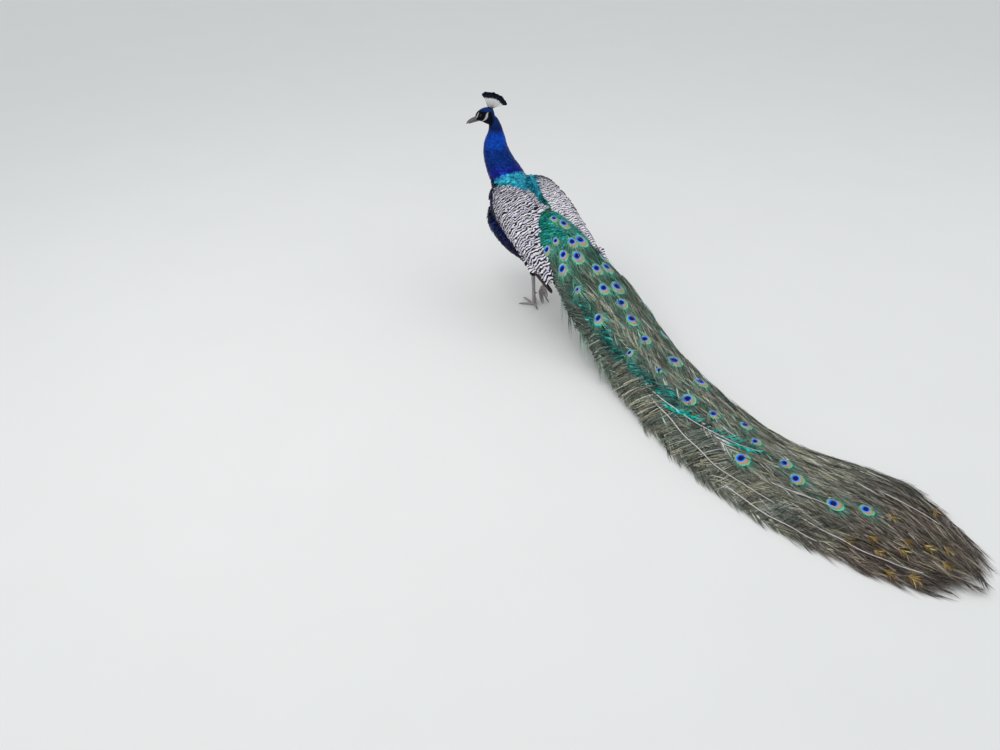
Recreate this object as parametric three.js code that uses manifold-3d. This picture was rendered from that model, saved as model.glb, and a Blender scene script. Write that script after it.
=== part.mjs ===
// A life-size peacock (Indian peafowl cock) in mid step, head turned to its left and train trailing on the
// floor. Millimetres, +Z up. The bird faces -Y, its left side is +X, and its soles are at the lowest level.
// Each named mesh is one part of the body, parted from its neighbours by a thin gap.
import * as THREE from "three";
import { mergeVertices } from "three/addons/utils/BufferGeometryUtils.js";
import Module from "manifold-3d";

const wasm = await Module();
wasm.setup();

// ---------------------------------------------------------------- driving dimensions
const GAP = 0.4; // between neighbouring solids
const FLOOR = 0;
const BODY_SIDES = 18; // facets round the trunk and neck
const HEAD_SIDES = 12;
const LEG_SIDES = 8;
const TOE_SIDES = 6;

const HEAD_LENGTH = 106; // back of the skull to the bill's tip
const HEAD_CENTRE = [75, -328, 676];
const HEAD_YAW = 56; // degrees, turned to the bird's left
const HEAD_PITCH = 15; // degrees, bill down
const EYE_RADIUS = 6.6;
const CREST_FEATHERS = 9;
const CREST_LENGTH = 61;

const TRAIN_TIPS = 13; // feather ends along the train's far edge

const TOE_RADIUS = 4.6;
const CLAW_LENGTH = 13;

const COLOUR = {
  blue: 0x10308c,
  dark: 0x14202c,
  barred: 0xb9aea2,
  tawny: 0x8a5a34,
  horn: 0x6d655c,
  eye: 0x1c120c,
  shank: 0x9a9088,
  claw: 0x4a4038,
  bronze: 0x4f5a34,
  emerald: 0x14764e,
  crest: 0x123a5c,
  brown: 0x5b4f42,
};

// ---------------------------------------------------------------- small helpers
const vec = (x, y, z) => new THREE.Vector3(x, y, z);
const radians = THREE.MathUtils.degToRad;
const lerp = THREE.MathUtils.lerp;
const clamp = THREE.MathUtils.clamp;
const smooth = (x, from, to) => THREE.MathUtils.smoothstep(x, from, to);

// A closed geometry from points and triangles, turned so that its faces point out.
function closed(points, triangles) {
  let volume = 0;
  for (const [a, b, c] of triangles)
    volume += points[a].dot(points[b].clone().cross(points[c]));
  const order = volume < 0 ? ([a, b, c]) => [a, c, b] : (t) => t;
  const geometry = new THREE.BufferGeometry();
  geometry.setFromPoints(points);
  geometry.setIndex(triangles.flatMap(order));
  return geometry;
}

function toSolid(geometry) {
  const bare = geometry.clone();
  bare.deleteAttribute("normal");
  bare.deleteAttribute("uv");
  const merged = mergeVertices(bare, 1e-3);
  const mesh = new wasm.Mesh({
    numProp: 3,
    vertProperties: new Float32Array(merged.attributes.position.array),
    triVerts: new Uint32Array(merged.index.array),
  });
  return new wasm.Manifold(mesh);
}

function toGeometry(solid) {
  const mesh = solid.getMesh();
  const geometry = new THREE.BufferGeometry();
  geometry.setAttribute("position", new THREE.BufferAttribute(mesh.vertProperties, 3));
  geometry.setIndex(new THREE.BufferAttribute(mesh.triVerts, 1));
  return geometry;
}

// The largest separate body of a solid, which drops slivers that a cut leaves.
const mainBody = (solid) =>
  solid.decompose().reduce((best, part) => (part.volume() > best.volume() ? part : best));

const union = (...solids) => solids.reduce((sum, solid) => sum.add(solid));

// Rows of named sizes, read as smooth curves: at(t) gives every size at t from 0 to 1.
function profile(rows) {
  const keys = Object.keys(rows[0]);
  const curves = keys.map(
    (key) => new THREE.SplineCurve(rows.map((row, i) => new THREE.Vector2(i / (rows.length - 1), row[key]))),
  );
  return (t) => Object.fromEntries(keys.map((key, i) => [key, curves[i].getPoint(t).y]));
}

// A closed skin through oval sections along a path. Each station gives a centre (x, y, z), half the
// width, and how far the section reaches above and below its centre. A boxy section below 1 is squarer.
function loft(stations, { rings, sides, side = vec(1, 0, 0), grow = 0, boxy = 1 }) {
  const at = profile(stations);
  const centre = (t) => {
    const s = at(t);
    return vec(s.x, s.y, s.z);
  };
  const points = [];
  for (let i = 0; i <= rings; i++) {
    const t = i / rings;
    const step = 0.01;
    const along = centre(Math.min(1, t + step)).sub(centre(Math.max(0, t - step))).normalize();
    const above = side.clone().cross(along).normalize();
    const across = along.clone().cross(above);
    const { wide, up, down } = at(t);
    for (let j = 0; j < sides; j++) {
      const angle = (2 * Math.PI * j) / sides;
      const [c, s] = [Math.cos(angle), Math.sin(angle)].map((a) => Math.sign(a) * Math.abs(a) ** boxy);
      points.push(
        centre(t)
          .addScaledVector(across, (wide + grow) * c)
          .addScaledVector(above, ((s > 0 ? up : down) + grow) * s),
      );
    }
  }
  const triangles = [];
  for (let i = 0; i < rings; i++)
    for (let j = 0; j < sides; j++) {
      const a = i * sides + j;
      const b = i * sides + ((j + 1) % sides);
      triangles.push([a, b, a + sides], [b, b + sides, a + sides]);
    }
  for (const [end, reversed] of [[0, true], [rings, false]]) {
    const hub = points.push(centre(end / rings)) - 1;
    for (let j = 0; j < sides; j++) {
      const a = end * sides + j;
      const b = end * sides + ((j + 1) % sides);
      triangles.push(reversed ? [hub, b, a] : [hub, a, b]);
    }
  }
  return toSolid(closed(points, triangles));
}

// A closed slab between two surfaces given as functions of (s, t), each from 0 to 1.
function slab(outer, inner, rows, columns) {
  const points = [];
  for (const surface of [outer, inner])
    for (let i = 0; i <= rows; i++)
      for (let j = 0; j <= columns; j++) points.push(surface(i / rows, j / columns));
  const layer = (rows + 1) * (columns + 1);
  const at = (i, j, k) => k * layer + i * (columns + 1) + j;
  const triangles = [];
  const quad = (a, b, c, d) => triangles.push([a, b, c], [a, c, d]);
  for (let i = 0; i < rows; i++)
    for (let j = 0; j < columns; j++) {
      quad(at(i, j, 0), at(i + 1, j, 0), at(i + 1, j + 1, 0), at(i, j + 1, 0));
      quad(at(i, j, 1), at(i, j + 1, 1), at(i + 1, j + 1, 1), at(i + 1, j, 1));
    }
  for (let i = 0; i < rows; i++) {
    quad(at(i, 0, 0), at(i, 0, 1), at(i + 1, 0, 1), at(i + 1, 0, 0));
    quad(at(i, columns, 0), at(i + 1, columns, 0), at(i + 1, columns, 1), at(i, columns, 1));
  }
  for (let j = 0; j < columns; j++) {
    quad(at(0, j, 0), at(0, j + 1, 0), at(0, j + 1, 1), at(0, j, 1));
    quad(at(rows, j, 0), at(rows, j, 1), at(rows, j + 1, 1), at(rows, j + 1, 0));
  }
  return toSolid(closed(points, triangles));
}

// Everything on one side of a plane, starting half a gap past it.
function halfSpace(point, normal) {
  const size = 4000;
  const box = new THREE.BoxGeometry(size, size, size);
  box.translate(0, 0, size / 2 + GAP / 2);
  box.applyQuaternion(new THREE.Quaternion().setFromUnitVectors(vec(0, 0, 1), normal.clone().normalize()));
  box.translate(point.x, point.y, point.z);
  return toSolid(box);
}

function ball(centre, radius, detail = 8) {
  const sphere = new THREE.SphereGeometry(radius, detail, detail / 2 + 2);
  sphere.translate(centre.x, centre.y, centre.z);
  return toSolid(sphere);
}

const aboveFloor = halfSpace(vec(0, 0, FLOOR - GAP / 2), vec(0, 0, 1));

// ---------------------------------------------------------------- trunk and neck
const TRUNK = [
  { x: 0, y: -308, z: 352, wide: 6, up: 6, down: 6 },
  { x: 0, y: -296, z: 350, wide: 54, up: 44, down: 54 },
  { x: 0, y: -264, z: 344, wide: 94, up: 78, down: 92 },
  { x: 0, y: -205, z: 334, wide: 117, up: 104, down: 116 },
  { x: 0, y: -135, z: 320, wide: 124, up: 108, down: 123 },
  { x: 0, y: -60, z: 304, wide: 121, up: 99, down: 116 },
  { x: 0, y: 15, z: 288, wide: 107, up: 82, down: 92 },
  { x: 0, y: 85, z: 270, wide: 86, up: 62, down: 67 },
  { x: 0, y: 150, z: 252, wide: 62, up: 42, down: 44 },
  { x: 0, y: 205, z: 236, wide: 40, up: 26, down: 26 },
  { x: 0, y: 238, z: 224, wide: 20, up: 13, down: 13 },
  { x: 0, y: 246, z: 221, wide: 4, up: 4, down: 4 },
];

// The fuller breast and flanks, which swell out below the wings.
const BREAST = [
  { x: 0, y: -317, z: 318, wide: 8, up: 8, down: 8 },
  { x: 0, y: -306, z: 316, wide: 60, up: 42, down: 46 },
  { x: 0, y: -268, z: 310, wide: 106, up: 56, down: 76 },
  { x: 0, y: -205, z: 300, wide: 131, up: 48, down: 88 },
  { x: 0, y: -135, z: 284, wide: 136, up: 36, down: 90 },
  { x: 0, y: -60, z: 264, wide: 131, up: 30, down: 80 },
  { x: 0, y: 15, z: 250, wide: 112, up: 28, down: 58 },
  { x: 0, y: 75, z: 244, wide: 76, up: 22, down: 38 },
  { x: 0, y: 100, z: 242, wide: 10, up: 6, down: 8 },
];

// Up is the throat's side here, because the path climbs.
const NECK = [
  { x: 0, y: -196, z: 352, wide: 78, up: 76, down: 78 },
  { x: 5, y: -240, z: 404, wide: 78, up: 74, down: 76 },
  { x: 13, y: -270, z: 448, wide: 69, up: 65, down: 63 },
  { x: 24, y: -290, z: 484, wide: 61, up: 59, down: 55 },
  { x: 32, y: -304, z: 520, wide: 55, up: 53, down: 48 },
  { x: 34, y: -312, z: 553, wide: 48, up: 48, down: 43 },
  { x: 32, y: -314, z: 582, wide: 40, up: 41, down: 37 },
  { x: 31, y: -315, z: 612, wide: 28, up: 29, down: 27 },
  { x: 36, y: -318, z: 640, wide: 22, up: 23, down: 23 },
  { x: 48, y: -322, z: 662, wide: 17, up: 17, down: 17 },
];

// ---------------------------------------------------------------- head
// The head's own axes: forward along the bill, side to its left, up through the crown.
const headForward = vec(
  Math.sin(radians(HEAD_YAW)) * Math.cos(radians(HEAD_PITCH)),
  -Math.cos(radians(HEAD_YAW)) * Math.cos(radians(HEAD_PITCH)),
  -Math.sin(radians(HEAD_PITCH)),
);
const headLeft = vec(0, 0, 1).cross(headForward).normalize();
const headUp = headForward.clone().cross(headLeft);

// A point of the head from millimetres forward, left and up of its centre.
const onHead = (forward, left, up) =>
  vec(...HEAD_CENTRE)
    .addScaledVector(headForward, forward * (HEAD_LENGTH / 100))
    .addScaledVector(headLeft, left)
    .addScaledVector(headUp, up);

// Stations given along the head's axis, moved to where the head is.
function headStations(rows) {
  return rows.map(({ forward, rise, ...sizes }) => {
    const p = onHead(forward, 0, rise);
    return { x: p.x, y: p.y, z: p.z, ...sizes };
  });
}

const SKULL = [
  { forward: -38, rise: -5, wide: 3, up: 3, down: 4 },
  { forward: -35, rise: -5, wide: 13, up: 16, down: 22 },
  { forward: -25, rise: -2, wide: 18.5, up: 24, down: 38 },
  { forward: -9, rise: -1, wide: 19.5, up: 26, down: 42 },
  { forward: 7, rise: -2, wide: 17.5, up: 24, down: 33 },
  { forward: 19, rise: -5, wide: 14, up: 18, down: 20 },
  { forward: 28, rise: -8.5, wide: 10, up: 11.5, down: 11 },
  { forward: 31, rise: -9.5, wide: 7, up: 7.5, down: 7 },
];

const UPPER_BILL = [
  { forward: 20, rise: -7, wide: 7, up: 6, down: 3.5 },
  { forward: 30, rise: -8, wide: 8.4, up: 7.8, down: 3.6 },
  { forward: 40, rise: -9, wide: 7.4, up: 7.6, down: 3.2 },
  { forward: 50, rise: -11, wide: 5.8, up: 6.6, down: 2.6 },
  { forward: 60, rise: -14, wide: 3.6, up: 4.8, down: 2 },
  { forward: 67, rise: -18.5, wide: 1.2, up: 1.6, down: 1.2 },
];

const LOWER_BILL = [
  { forward: 20, rise: -14, wide: 6, up: 2.4, down: 3 },
  { forward: 30, rise: -15, wide: 7, up: 2.4, down: 3.8 },
  { forward: 41, rise: -15.6, wide: 5.8, up: 2.2, down: 3.4 },
  { forward: 52, rise: -17, wide: 4, up: 1.6, down: 2.6 },
  { forward: 59, rise: -18.5, wide: 1.4, up: 1, down: 1.2 },
];

const headLoft = (rows, rings, grow = 0) =>
  loft(headStations(rows), { rings, sides: HEAD_SIDES, side: headLeft.clone().negate(), grow });

const EYE_PLACE = { forward: 9, left: 12.2, up: 3.5 };
const eyeCentre = (side) => onHead(EYE_PLACE.forward, side * EYE_PLACE.left, EYE_PLACE.up);

// One crest feather: a bare shaft ending in a small fan, leaning by angle in the head's middle plane.
function crestFeather(index) {
  const share = index / (CREST_FEATHERS - 1);
  const angle = radians(lerp(-2, 82, share));
  const splay = radians(7 * Math.sin(index * 2.4));
  const length = CREST_LENGTH * lerp(0.97, 1.03, share);
  const root = onHead(lerp(-22, -32, share), 0, lerp(17, 13, share));
  const along = headUp
    .clone()
    .multiplyScalar(Math.cos(angle))
    .addScaledVector(headForward, -Math.sin(angle))
    .applyAxisAngle(headForward, splay)
    .normalize();
  const shaftEnd = 0.74;
  const stations = [0, 0.35, shaftEnd, 0.83, 0.93, 1].map((t) => {
    const p = root.clone().addScaledVector(along, length * t);
    const fan = t > shaftEnd ? 4.6 * Math.sin((Math.PI * (t - shaftEnd)) / (1.12 - shaftEnd)) : 0;
    return { x: p.x, y: p.y, z: p.z, wide: 0.7, up: 0.7 + fan, down: 0.7 + fan };
  });
  return loft(stations, { rings: 5, sides: 4, side: headLeft });
}

const crestBase = () =>
  loft(
    headStations([
      { forward: -36, rise: 7, wide: 4.4, up: 9, down: 3 },
      { forward: -27, rise: 12, wide: 5.4, up: 14, down: 3 },
      { forward: -18, rise: 15, wide: 4.4, up: 10, down: 3 },
    ]),
    { rings: 4, sides: 8, side: headLeft.clone().negate() },
  );

// ---------------------------------------------------------------- wings
// Stations of the left wing from shoulder to tip: its inner edge on the back, its bulge, and its lower
// edge. The right wing is their mirror image, held a little higher and further out.
const WING_STATIONS = [
  { inner: [82, -264, 424], bulge: [96, -262, 410], lower: [97, -264, 394] },
  { inner: [52, -212, 450], bulge: [112, -208, 404], lower: [117, -216, 356] },
  { inner: [22, -140, 442], bulge: [120, -140, 390], lower: [126, -145, 318] },
  { inner: [10, -60, 420], bulge: [124, -60, 366], lower: [129, -68, 288] },
  { inner: [20, 5, 380], bulge: [125, 15, 340], lower: [129, 15, 264] },
  { inner: [52, 62, 334], bulge: [125, 90, 310], lower: [130, 105, 247] },
  { inner: [82, 118, 300], bulge: [121, 165, 276], lower: [126, 196, 233] },
];
const WING_STANCE = {
  left: { side: 1, lift: 0, out: 0 },
  right: { side: -1, lift: 40, out: 12 },
};
const WING_THICK = 15;
const WING_BED = 34; // at the inner edge, where the back is cut out of it
const WING_EDGE = 2.4;
const COVERTS_END = 0.617; // shares of the wing's length
const FLIGHT_START = 0.62;
const FLIGHT_TIPS = 7;
const TIP_REACH = 16; // how far a rounded feather end stands out
const LOBE_NOTCH = { at: 0.42, wide: 0.1, deep: 34 }; // between the two lobes of the wing's end

const wingEdges = ["inner", "bulge", "lower"].map(
  (edge) => new THREE.CatmullRomCurve3(WING_STATIONS.map((station) => vec(...station[edge]))),
);

// A feather's rounded end: 1 in its middle and 0 at its sides, for a share of a row of so many feathers.
const roundedEnd = (share, count) => Math.sqrt(Math.max(0, 1 - (2 * ((share * count) % 1) - 1) ** 2));

// A place on the left wing's outer face: s runs from shoulder to tip, t from the inner to the lower edge.
function onWing(s, t) {
  const [inner, bulge, lower] = wingEdges.map((curve) => curve.getPoint(s));
  const control = bulge.multiplyScalar(2).addScaledVector(inner, -0.5).addScaledVector(lower, -0.5);
  return inner
    .clone()
    .multiplyScalar((1 - t) ** 2)
    .addScaledVector(control, 2 * t * (1 - t))
    .addScaledVector(lower, t * t);
}

function wingNormal(s, t) {
  const step = 0.02;
  const ds = onWing(Math.min(1, s + step), t).sub(onWing(Math.max(0, s - step), t));
  const dt = onWing(s, Math.min(1, t + step)).sub(onWing(s, Math.max(0, t - step)));
  return dt.cross(ds).normalize();
}

// How far each flight feather's tip stands past the wing's end.
function tipReach(t) {
  const notch = LOBE_NOTCH.deep * Math.exp(-(((t - LOBE_NOTCH.at) / LOBE_NOTCH.wide) ** 2));
  return TIP_REACH * roundedEnd(t, FLIGHT_TIPS) - notch;
}

// Sets a point of the left wing's shape where a wing's stance puts it. The stance grows from the
// shoulder to the middle of the wing and dies away toward the tip and the inner edge.
function stand({ side, lift, out }, p, along, across = 1) {
  const lengthwise = smooth(along, -0.12, 0.3) * (1 - 0.85 * smooth(along, 0.4, 1));
  const held = lengthwise * lerp(0.35, 1, smooth(across, 0, 0.5));
  p.z += lift * held;
  p.x = side * (p.x + out * held);
  return p;
}

// A stretch of wing from one share of its length to another.
function wingPiece(stance, from, to, { ends = false, rows = 4, columns = 8, grow = 0 } = {}) {
  const place = (s, share, depth) => {
    const along = lerp(from, to, s);
    const t = lerp(-grow / 200, 1 + grow / 200, share);
    const p = onWing(along, t);
    const normal = wingNormal(along, t);
    if (ends) {
      const back = onWing(1, t).sub(onWing(0.9, t)).normalize();
      p.addScaledVector(back, tipReach(clamp(t, 0, 1)) * s ** 3 + grow * s ** 3);
    }
    const rim = clamp(4 * Math.min(1 - t, 1.04 - along), 0, 1);
    const bed = lerp(WING_BED, WING_THICK, clamp(2 * t + smooth(along, 0.4, 0.8), 0, 1));
    const thick = lerp(WING_EDGE, bed, Math.sqrt(rim));
    p.addScaledVector(normal, lerp(grow, -thick - grow, depth));
    return stand(stance, p, along, t);
  };
  return slab((s, t) => place(s, t, 0), (s, t) => place(s, t, 1), rows, columns);
}

// The primaries lie folded under the lower edge and show only their dark tips.
const PRIMARY_TIPS = 4;
function primaries(stance, grow = 0) {
  const place = (s, t, depth) => {
    const p = vec(lerp(106, 121, s), lerp(60 - grow, 218 + grow, s), lerp(228, 202, s));
    p.y += 14 * roundedEnd(t, PRIMARY_TIPS) * s ** 3 - 26 * t * s;
    p.z += lerp(-9 - grow, 13 + grow, t) * Math.sin(Math.PI * clamp(0.2 + 0.65 * s, 0, 1));
    p.x -= lerp(-grow, 3.2 + grow, depth) + 4 * t;
    return stand(stance, p, 1);
  };
  return slab((s, t) => place(s, t, 0), (s, t) => place(s, t, 1), 4, PRIMARY_TIPS * 2);
}

// ---------------------------------------------------------------- train and tail
// The train's ridge and width along its length; drop is how far its sides fall below the ridge.
const TRAIN = [
  { y: -6, x: 2, top: 405, half: 30, drop: 20, thick: 12 },
  { y: 80, x: -2, top: 370, half: 86, drop: 42, thick: 16 },
  { y: 180, x: -20, top: 310, half: 120, drop: 74, thick: 24 },
  { y: 300, x: -42, top: 240, half: 147, drop: 92, thick: 26 },
  { y: 430, x: -46, top: 176, half: 156, drop: 104, thick: 26 },
  { y: 580, x: -36, top: 130, half: 161, drop: 116, thick: 26 },
  { y: 750, x: -18, top: 98, half: 166, drop: 96, thick: 28 },
  { y: 920, x: -6, top: 76, half: 170, drop: 74, thick: 30 },
  { y: 1090, x: -12, top: 60, half: 180, drop: 58, thick: 34 },
  { y: 1250, x: -62, top: 49, half: 212, drop: 47, thick: 44 },
  { y: 1400, x: -122, top: 39, half: 226, drop: 37, thick: 39 },
  { y: 1530, x: -140, top: 29, half: 190, drop: 27, thick: 29 },
  { y: 1630, x: -154, top: 20, half: 148, drop: 18, thick: 20 },
  { y: 1700, x: -168, top: 12, half: 106, drop: 10, thick: 12 },
];
const TRAIN_CUTS = [0.28, 0.47, 0.64, 0.8]; // shares of the length where one part ends and the next begins
const TRAIN_CUT_HALF = 0.0002;
const trainAt = profile(TRAIN);
const TRAIN_ROWS = 32; // along the whole train; every other row steps out at the sides
const SCALLOP_DEPTH = 7;

// A place on the train: s along it, v from -1 at the right edge to 1 at the left one.
function onTrain(s, v, under) {
  const row = trainAt(s);
  const scallop = SCALLOP_DEPTH * (Math.round(s * TRAIN_ROWS) % 2) * v ** 8 * smooth(s, 0.05, 0.15);
  const x = row.x + v * (row.half + scallop);
  const top = row.top - row.drop * Math.abs(v) ** 2.3;
  const thick = Math.max(2, row.thick * (1 - v ** 4));
  const z = under ? Math.max(FLOOR, top - thick) : Math.max(FLOOR + 2, top);
  return vec(x, row.y, z);
}

// The far edge runs out in separate feather ends, the longest in the middle.
function trainTipReach(v) {
  const tooth = Math.abs(((((v + 1) / 2) * TRAIN_TIPS) % 1) * 2 - 1);
  return 62 * (1 - v * v) - 26 * tooth;
}

function trainPiece(from, to, columns = 10) {
  const last = to === 1;
  const place = (s, t, under) => {
    const along = lerp(from, to, s);
    const v = 2 * t - 1;
    const p = onTrain(along, v, under);
    if (last) p.y += trainTipReach(v) * s ** 4;
    return p;
  };
  const rows = Math.round((to - from) * TRAIN_ROWS);
  const wide = last ? TRAIN_TIPS * 2 : columns;
  return slab((s, t) => place(s, t, false), (s, t) => place(s, t, true), rows, wide);
}

// The true tail: stiff brown feathers in a shallow fan that props the train from beneath.
const TAIL_FEATHERS = 7;
function tailFan() {
  const place = (s, t, under) => {
    const v = 2 * t - 1;
    const half = lerp(26, 78, s ** 0.8);
    const scallop = 12 * roundedEnd(t, TAIL_FEATHERS) * s ** 3;
    const y = lerp(196, 560, s) - 34 * v * v * s + scallop;
    const z = lerp(222, 84, s ** 0.8) - 16 * v * v;
    return vec(v * half - 22 * s, y, z - (under ? 4 : 0));
  };
  return slab((s, t) => place(s, t, false), (s, t) => place(s, t, true), 4, TAIL_FEATHERS * 2);
}

// ---------------------------------------------------------------- legs
const LEGS = {
  left: {
    knee: [66, -58, 246],
    ankle: [44, -20, 156],
    ball: [35, -20, 7],
  },
  right: {
    knee: [-64, -48, 250],
    ankle: [-36, 30, 178],
    ball: [-12, -34, 58],
  },
};

const leaning = (from, to, t) => vec(...from).lerp(vec(...to), t);

function limb(from, to, widths, options = {}) {
  const stations = widths.map(([t, wide, deep]) => {
    const p = leaning(from, to, t);
    return { x: p.x, y: p.y, z: p.z, wide, up: deep, down: deep };
  });
  return loft(stations, { rings: 8, sides: LEG_SIDES, ...options });
}

// The feathered drumstick, from inside the flank to just above the ankle: share of the way, half the
// width, half the depth.
const THIGH_WIDTHS = [[-0.25, 26, 34], [0.1, 34, 44], [0.5, 26, 32], [0.8, 14, 16], [0.97, 8.5, 9.5]];
const thigh = (leg, grow = 0) => limb(leg.knee, leg.ankle, THIGH_WIDTHS, { sides: 12, grow });

// The bare shank, thick at the ankle and at the foot.
const SHANK_WIDTHS = [
  [-0.02, 8.6, 10], [0.05, 8.6, 9.8], [0.16, 6.8, 8], [0.5, 6, 7], [0.85, 6.4, 7.2], [0.95, 7.2, 7.4],
];
const shank = (leg) => limb(leg.ankle, leg.ball, SHANK_WIDTHS);

// The shank's skin a gap larger, which the spur is seated on.
const SLEEVE_WIDTHS = [[0.1, 7.7, 8.9], [0.5, 6, 7], [0.9, 6.9, 7.4]];
const shankSleeve = (leg) => limb(leg.ankle, leg.ball, SLEEVE_WIDTHS, { grow: GAP + 0.2 });

// Toes of a planted foot: degrees outward from straight ahead, and length.
const PLANTED_TOES = {
  inner: { turn: -40, length: 46 },
  middle: { turn: 4, length: 58 },
  outer: { turn: 48, length: 48 },
  hind: { turn: 168, length: 26 },
};
const PAD_RADIUS = 8.4;

// A toe's centre line: stretches of path with a radius at each, and the claw that follows.
function plantedToe({ turn, length }) {
  const [x, y] = LEGS.left.ball;
  const heading = vec(Math.sin(radians(turn)), -Math.cos(radians(turn)), 0);
  const at = (distance, z) => vec(x, y, z).addScaledVector(heading, distance);
  return [
    at(2, 7.5),
    at(length * 0.3, 4.2),
    at(length * 0.65, 3.7),
    at(length, 3.1),
    at(length + CLAW_LENGTH, 0.7),
  ];
}

// Toes of the lifted foot hang closed from the ball, and their tips just reach the floor.
const HANGING_TOES = {
  inner: { spread: 11, back: 20 },
  middle: { spread: 0, back: 8 },
  outer: { spread: -11, back: 24 },
};
function hangingToe({ spread, back }) {
  const [x, y, z] = LEGS.right.ball;
  return [
    vec(x + spread * 0.2, y - 2, z - 1),
    vec(x + spread * 0.7, y - 7, z * 0.68),
    vec(x + spread, y - 2 + back * 0.3, z * 0.36),
    vec(x + spread * 1.1, y + back * 0.75, 8),
    vec(x + spread * 1.15, y + back + 6, 1),
  ];
}
const HIND_TOE_RIGHT = [
  vec(-13, -26, 60), vec(-14, -16, 55), vec(-14, -9, 49), vec(-14, -4, 42), vec(-14, -1, 32),
];

// A round finger-like loft along points, with a radius at each.
function taper(points, radii) {
  const stations = points.map(({ x, y, z }, i) => {
    const radius = radii[i];
    return { x, y, z, wide: radius, up: radius, down: radius };
  });
  const nearlyUp = vec(0.02, 0.01, 1);
  const across = points.at(-1).clone().sub(points[0]).cross(nearlyUp).normalize();
  return loft(stations, { rings: 3, sides: TOE_SIDES, side: across });
}

const toe = (points) =>
  taper(points.slice(0, 4), [TOE_RADIUS + 1.2, TOE_RADIUS, TOE_RADIUS - 0.4, TOE_RADIUS - 1.2]);

// A claw is seated in the end of its toe and curves down to a blunt point.
function claw(points, grow = 0) {
  const [from, to] = points.slice(3);
  const along = to.clone().sub(from).normalize();
  const start = from.clone().addScaledVector(along, -2 - grow);
  const middle = start.clone().lerp(to, 0.5).add(vec(0, 0, 1.2));
  return taper([start, middle, to], [2.2 + grow, 2 + grow, 0.8 + grow]);
}

// ---------------------------------------------------------------- assembly
const root = new THREE.Group();

function addPart(name, solid, colour, { roughness = 0.75, metalness = 0 } = {}) {
  const material = new THREE.MeshStandardMaterial({ color: colour, roughness, metalness });
  const mesh = new THREE.Mesh(toGeometry(mainBody(solid)), material);
  mesh.name = name;
  root.add(mesh);
}

const trunkLoft = (grow = 0) =>
  union(
    loft(TRUNK, { rings: 13, sides: BODY_SIDES, grow, boxy: 0.8 }),
    loft(BREAST, { rings: 10, sides: BODY_SIDES, grow }),
  );
const neckLoft = (grow = 0) => loft(NECK, { rings: 12, sides: BODY_SIDES, grow });

const NECK_CUT = [vec(0, -250, 440), vec(0, -0.25, 0.97)];
const HEAD_CUT = [onHead(-20, 0, -23), headUp.clone().addScaledVector(headForward, 0.55)];
const flipped = ([point, normal]) => [point, normal.clone().negate()];

const whole = union(trunkLoft(), neckLoft(), headLoft(SKULL, 9));
const aboveNeckCut = whole.intersect(halfSpace(...NECK_CUT));
const grownBody = union(trunkLoft(GAP), neckLoft(GAP), headLoft(SKULL, 9, GAP));

// Head, with sockets for the eyes and a seat for the bill.
const bills = [UPPER_BILL, LOWER_BILL];
const sockets = [1, -1].map((side) => ball(eyeCentre(side), EYE_RADIUS + GAP));
const head = [...bills.map((rows) => headLoft(rows, 6, GAP)), ...sockets, crestBase()].reduce(
  (rest, cutter) => rest.subtract(cutter),
  aboveNeckCut.intersect(halfSpace(...HEAD_CUT)),
);
addPart("head", head, COLOUR.blue);
addPart("bill_upper", headLoft(UPPER_BILL, 6), COLOUR.horn, { roughness: 0.4 });
addPart("bill_lower", headLoft(LOWER_BILL, 6), COLOUR.horn, { roughness: 0.4 });
for (const [name, side] of [["left", 1], ["right", -1]])
  addPart(`eye_${name}`, ball(eyeCentre(side), EYE_RADIUS), COLOUR.eye, { roughness: 0.1 });

const feathers = Array.from({ length: CREST_FEATHERS }, (_, i) => crestFeather(i));
const crestRoot = loft(
  headStations([
    { forward: -35.4, rise: 7.4, wide: 3.8, up: 7, down: 2.4 },
    { forward: -27, rise: 12, wide: 4.8, up: 10, down: 2.4 },
    { forward: -18.6, rise: 15, wide: 3.8, up: 8, down: 2.4 },
  ]),
  { rings: 4, sides: 8, side: headLeft.clone().negate() },
);
const skullAroundCrest = headLoft(SKULL, 9, GAP).subtract(crestBase());
addPart("crest", union(crestRoot, ...feathers).subtract(skullAroundCrest), COLOUR.crest);

// Neck in two lengths, then the trunk.
const NECK_MIDDLE = [vec(18, -288, 530), vec(0.25, -0.2, 0.95)];
const neck = aboveNeckCut.intersect(halfSpace(...flipped(HEAD_CUT)));
addPart("neck_upper", neck.intersect(halfSpace(...NECK_MIDDLE)), COLOUR.blue);
addPart("neck_lower", neck.intersect(halfSpace(...flipped(NECK_MIDDLE))), COLOUR.blue);

const shoulders = whole.intersect(halfSpace(...flipped(NECK_CUT)));
const trunk = Object.values(LEGS).reduce((rest, leg) => rest.subtract(thigh(leg, 2 * GAP)), shoulders);
addPart("trunk", trunk, COLOUR.dark);

// Wings, each in three parts.
for (const [name, stance] of Object.entries(WING_STANCE)) {
  const thighs = thigh(LEGS[name], GAP);
  const clear = (solid) => solid.subtract(grownBody).subtract(thighs);
  addPart(`wing_${name}`, clear(wingPiece(stance, 0, COVERTS_END, { rows: 7 })), COLOUR.barred);
  const flight = clear(wingPiece(stance, FLIGHT_START, 1, { ends: true, columns: FLIGHT_TIPS * 2 }));
  addPart(`flight_${name}`, flight, COLOUR.barred);
  addPart(`primaries_${name}`, primaries(stance).subtract(flight).subtract(grownBody), COLOUR.tawny);
}

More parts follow.
